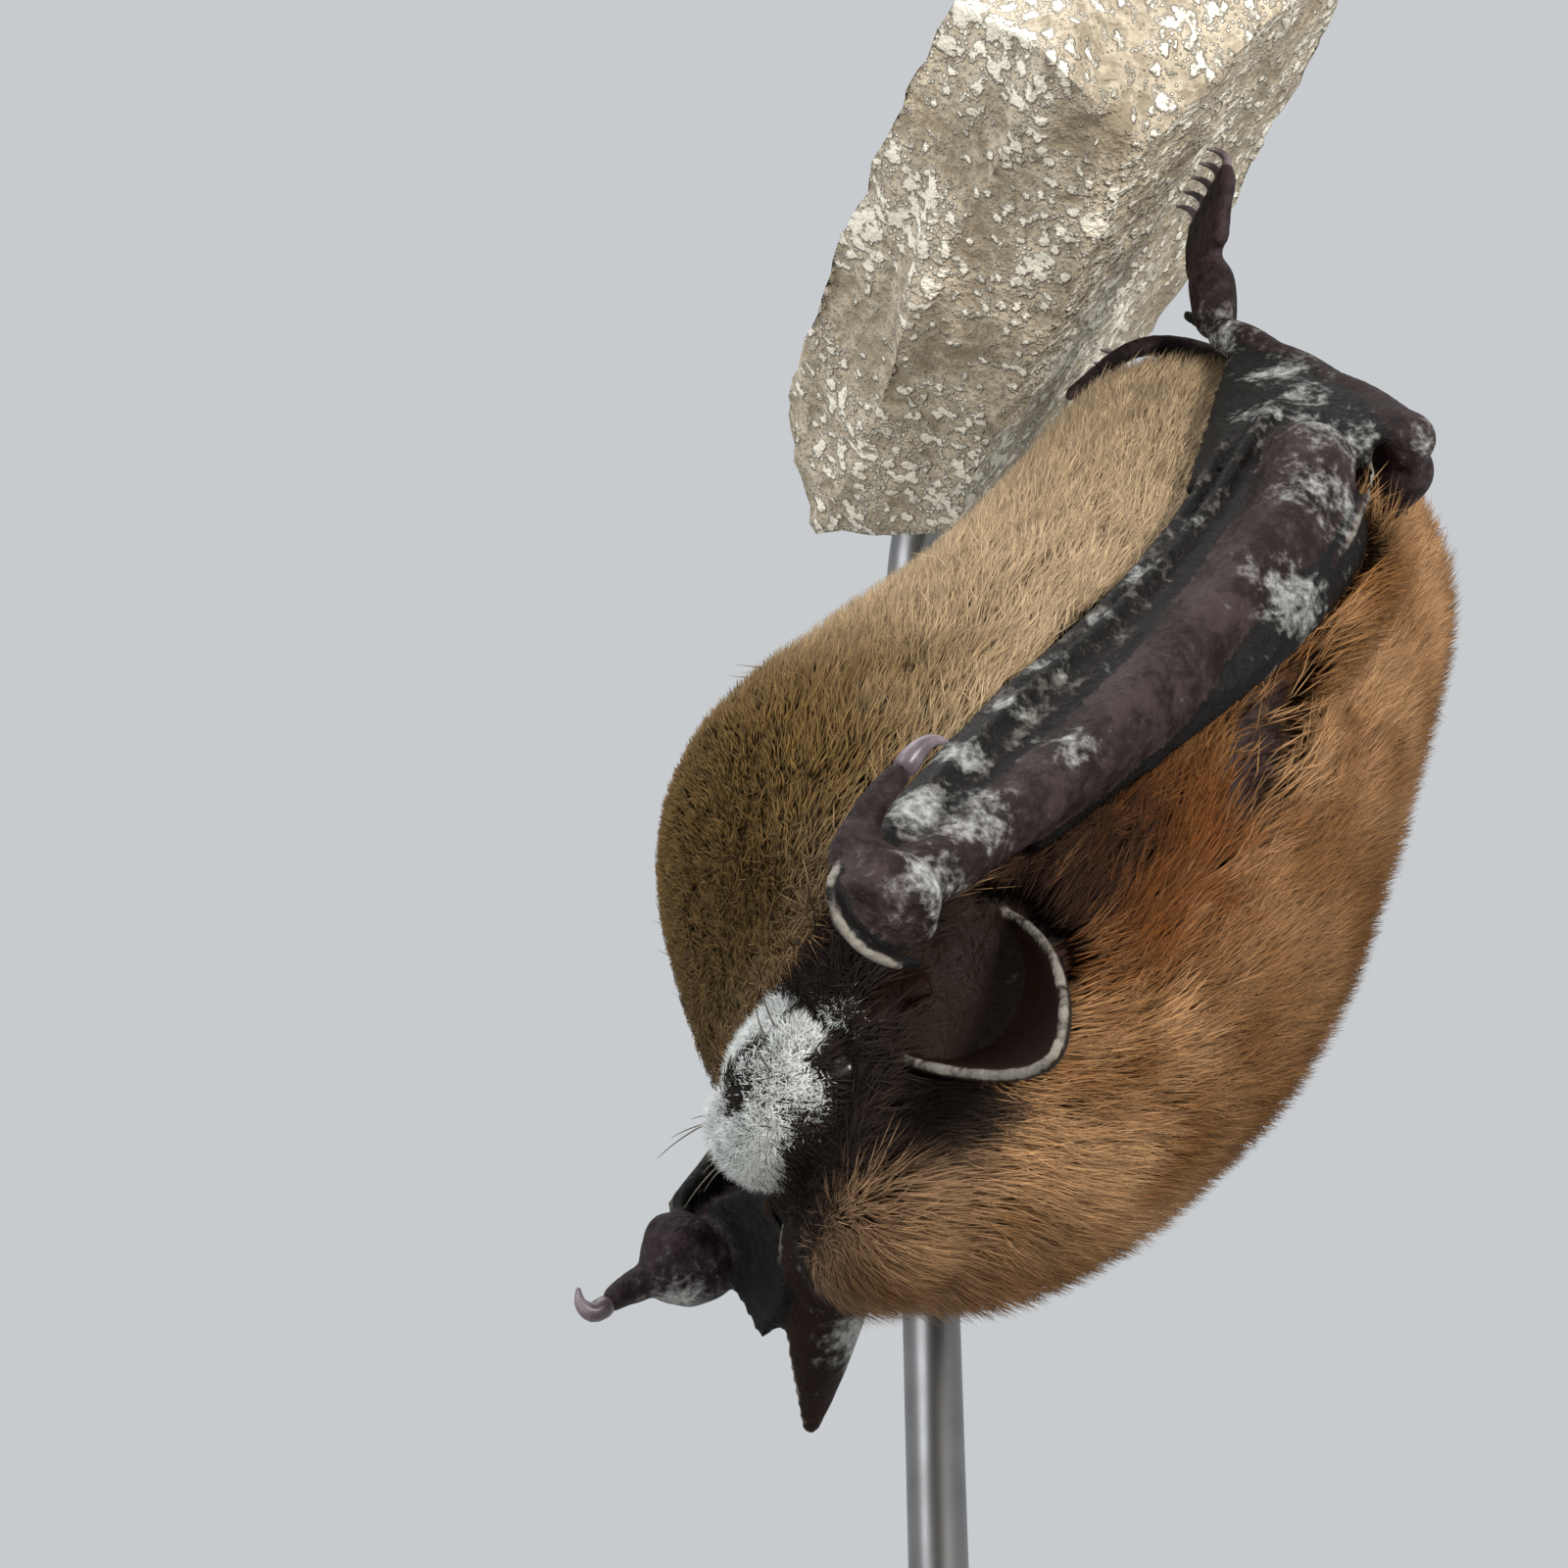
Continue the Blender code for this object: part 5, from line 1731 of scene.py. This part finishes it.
@dataclass
class Stand:
    """The display stand: a round base and a bent rod, in millimetres."""

    base_radius: float = 42.0
    base_height: float = 8.0
    edge: float = 1.6
    rod_radius: float = 1.3
    bend: float = 6.0
    offset: float = 24.0
    seat: float = 5.0
    rock_middle: tuple[float, float] = (-1.5, 5.5)
    rock_width: float = 33.0

    def base(self, material: bpy.types.Material) -> None:
        """Turn the base with a rounded upper edge.

        Args:
            material: the finish it wears.
        """
        bm = bmesh.new()
        radius, height = self.base_radius * MM, self.base_height * MM
        bmesh.ops.create_cone(bm, cap_ends=True, segments=160, radius1=radius, radius2=radius, depth=height)
        bmesh.ops.translate(bm, verts=bm.verts, vec=(0.0, 0.0, 0.5 * height))
        rim = [e for e in bm.edges if all(v.co.z > 0.9 * height for v in e.verts)]
        bmesh.ops.bevel(bm, geom=rim, offset=self.edge * MM, segments=6, profile=0.5, affect="EDGES")
        base = link_mesh("round_base", bm)
        base.data.set_sharp_from_angle(angle=math.radians(35.0))
        base.data.materials.append(material)
        hand_over(base, "base_paint", "stand_base")

    def rod(self, material: bpy.types.Material) -> None:
        """Draw the rod out of a circle: up from the base, round the bend and into the rock.

        Args:
            material: the finish it wears.
        """
        middle = Vector(body_point(*self.rock_middle, 0.0))
        foot = Vector((middle.x, self.offset * MM, (self.base_height - self.seat) * MM))
        centre = Vector((middle.x, (self.offset - self.bend) * MM, middle.z - self.bend * MM))
        bm = bmesh.new()
        ring = bmesh.ops.create_circle(bm, segments=32, radius=self.rod_radius * MM)["verts"]
        bmesh.ops.translate(bm, verts=ring, vec=foot)
        ring = self.draw(bm, bm.edges[:], Vector((0.0, 0.0, centre.z - foot.z)))
        spun = bmesh.ops.spin(bm, geom=ring, cent=centre, axis=(1.0, 0.0, 0.0), angle=0.5 * math.pi, steps=16)
        last = [e for e in spun["geom_last"] if isinstance(e, bmesh.types.BMEdge)]
        self.draw(bm, last, Vector((0.0, (0.5 * self.rock_width - self.seat) * MM - centre.y, 0.0)))
        bmesh.ops.holes_fill(bm, edges=[e for e in bm.edges if e.is_boundary])
        face_outwards(bm)
        rod = link_mesh("bent_rod", bm)
        rod.data.set_sharp_from_angle(angle=math.radians(35.0))
        rod.data.materials.append(material)
        hand_over(rod, "steel", "stand_rod")

    @staticmethod
    def draw(bm: bmesh.types.BMesh, edges: list[bmesh.types.BMEdge], way: Vector) -> list[bmesh.types.BMEdge]:
        """Extrude a ring of edges along a way and give the new ring.

        Args:
            bm: the bmesh that holds them.
            edges: edges of the section.
            way: direction of the draw.

        Returns:
            The edges of the new ring.
        """
        made = bmesh.ops.extrude_edge_only(bm, edges=edges)["geom"]
        bmesh.ops.translate(bm, verts=[g for g in made if isinstance(g, bmesh.types.BMVert)], vec=way)
        return [g for g in made if isinstance(g, bmesh.types.BMEdge)]


@dataclass
class PerchRock:
    """The cut piece of rock, with a rougher surface than its solid."""

    def build(self, material: bpy.types.Material) -> None:
        """Refine a copy of the rock and roughen it inwards.

        Args:
            material: the finish it wears.
        """
        bm = bmesh.new()
        bm.from_mesh(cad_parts["perch_rock"].data)
        bmesh.ops.remove_doubles(bm, verts=bm.verts, dist=0.002 * MM)
        for _ in range(4):
            long = [e for e in bm.edges if e.calc_length() > 0.9 * MM]
            bmesh.ops.subdivide_edges(bm, edges=long, cuts=1)
            bmesh.ops.triangulate(bm, faces=bm.faces)
        bm.normal_update()
        for vert in bm.verts:
            grain = noise.fractal(vert.co * 330.0, 1.0, 2.0, 4)
            pits = noise.cell(vert.co * 900.0)
            vert.co -= vert.normal * MM * (0.28 + 0.30 * grain + 0.12 * pits)
        rock = link_mesh("rock_piece", bm)
        rock.data.materials.append(material)
        hand_over(rock, "rock", "perch_rock")


@dataclass
class Studio:
    """Floor, lights and camera."""

    target: Point = (-0.0085, 0.0, 0.1)
    lens: float = 83.7
    azimuth: float = -17.0
    elevation: float = -38.0
    place: Point = (-46.1, -111.7, 7.8)

    def build(self) -> None:
        """Set the scene up."""
        bm = bmesh.new()
        bmesh.ops.create_grid(bm, x_segments=1, y_segments=1, size=1.5)
        floor = link_mesh("studio_floor", bm)
        floor.data.materials.append(
            PlainFinish("floor_paint", (0.72, 0.72, 0.70), (0.70, 0.70, 0.68), 4.0, 0.7).build()
        )
        world = bpy.data.worlds.new("studio")
        world.use_nodes = True
        world.node_tree.nodes["Background"].inputs["Color"].default_value = (0.80, 0.83, 0.86, 1.0)
        world.node_tree.nodes["Background"].inputs["Strength"].default_value = 0.72
        bpy.context.scene.world = world
        bpy.context.scene.view_settings.view_transform = "Standard"
        self.light("key", (0.12, -0.46, 0.055), 0.09, 1.9, (1.0, 0.97, 0.92))
        self.light("fill", (-0.45, -0.25, 0.25), 0.35, 1.5, (0.95, 0.97, 1.0))
        self.light("top", (-0.10, -0.1, 0.55), 0.4, 1.6, (1.0, 0.98, 0.95))
        data = bpy.data.cameras.new("camera")
        data.lens, data.sensor_width = self.lens, 36.0
        data.clip_start, data.clip_end = 0.005, 10.0
        camera = bpy.data.objects.new("camera", data)
        bpy.context.scene.collection.objects.link(camera)
        a, e = math.radians(self.azimuth), math.radians(self.elevation)
        back = Vector((math.sin(a) * math.cos(e), -math.cos(a) * math.cos(e), math.sin(e)))
        camera.location = Vector(self.place) * MM
        camera.rotation_mode = "QUATERNION"
        camera.rotation_quaternion = (-back).to_track_quat("-Z", "Y")
        bpy.context.scene.camera = camera

    def light(self, name: str, place: Point, size: float, power: float, colour: Point) -> None:
        """Add a soft square light that faces the bat.

        Args:
            name: the light's name.
            place: where it stands.
            size: side of the square, in metres.
            power: power, in watts.
            colour: its colour.
        """
        data = bpy.data.lights.new(name, "AREA")
        data.size, data.energy, data.color = size, power, colour
        lamp = bpy.data.objects.new(name, data)
        lamp.location = place
        aim = Vector(self.target) - Vector(place)
        lamp.rotation_mode = "QUATERNION"
        lamp.rotation_quaternion = aim.to_track_quat("-Z", "Y")
        bpy.context.scene.collection.objects.link(lamp)


NOISE_SEED = 34
FLESH = (
    "trunk", "neck", "head", "ear", "tragus", "forearm", "upper_arm", "wrist", "thumb",
    "folded_hand", "arm_web", "thigh", "shin", "foot", "flank_web", "tail",
)


def main() -> None:
    """Build the pieces in order and report each."""
    logging.basicConfig(level=logging.INFO, format="%(message)s")
    noise.seed_set(NOISE_SEED)
    skin = BatSkin()
    skin.trunk()
    skin.face()
    for sign in SIDES.values():
        skin.arm(sign)
        skin.hand(sign)
        skin.thumb(sign)
        skin.wing_skins(sign)
        skin.leg(sign)
        skin.ear(sign)
    skin.tail()
    body = skin.grow_together()
    body.data.materials.append(SkinFinish().build())
    flesh = [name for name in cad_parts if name.startswith(FLESH)]
    hand_over(body, "fur_back", *flesh)
    BatCoat(body, skin.limbs).build(CoatFinish().build())
    bloom = PlainFinish("fungus_white", srgb(238, 240, 236), srgb(190, 192, 188), 1100.0, 0.9)
    FungalBloom(body).build(bloom.build())
    Eyes().build(PlainFinish("eye_gloss", (0.006, 0.005, 0.005), (0.01, 0.008, 0.008), 900.0, 0.26).build())
    Claws().build(PlainFinish("claw_horn", srgb(118, 106, 112), srgb(64, 54, 58), 900.0, 0.35).build())
    PerchRock().build(RockFinish().build())
    Whiskers().build(PlainFinish("whisker_hair", srgb(120, 112, 100), srgb(84, 76, 66), 900.0, 0.5).build())
    stand = Stand()
    stand.base(PlainFinish("base_enamel", (0.020, 0.020, 0.021), (0.026, 0.026, 0.027), 60.0, 0.42).build())
    stand.rod(PlainFinish("rod_steel", (0.19, 0.19, 0.19), (0.24, 0.24, 0.24), 300.0, 0.38, 1.0).build())
    Studio().build()


if __name__ == "__main__":
    main()
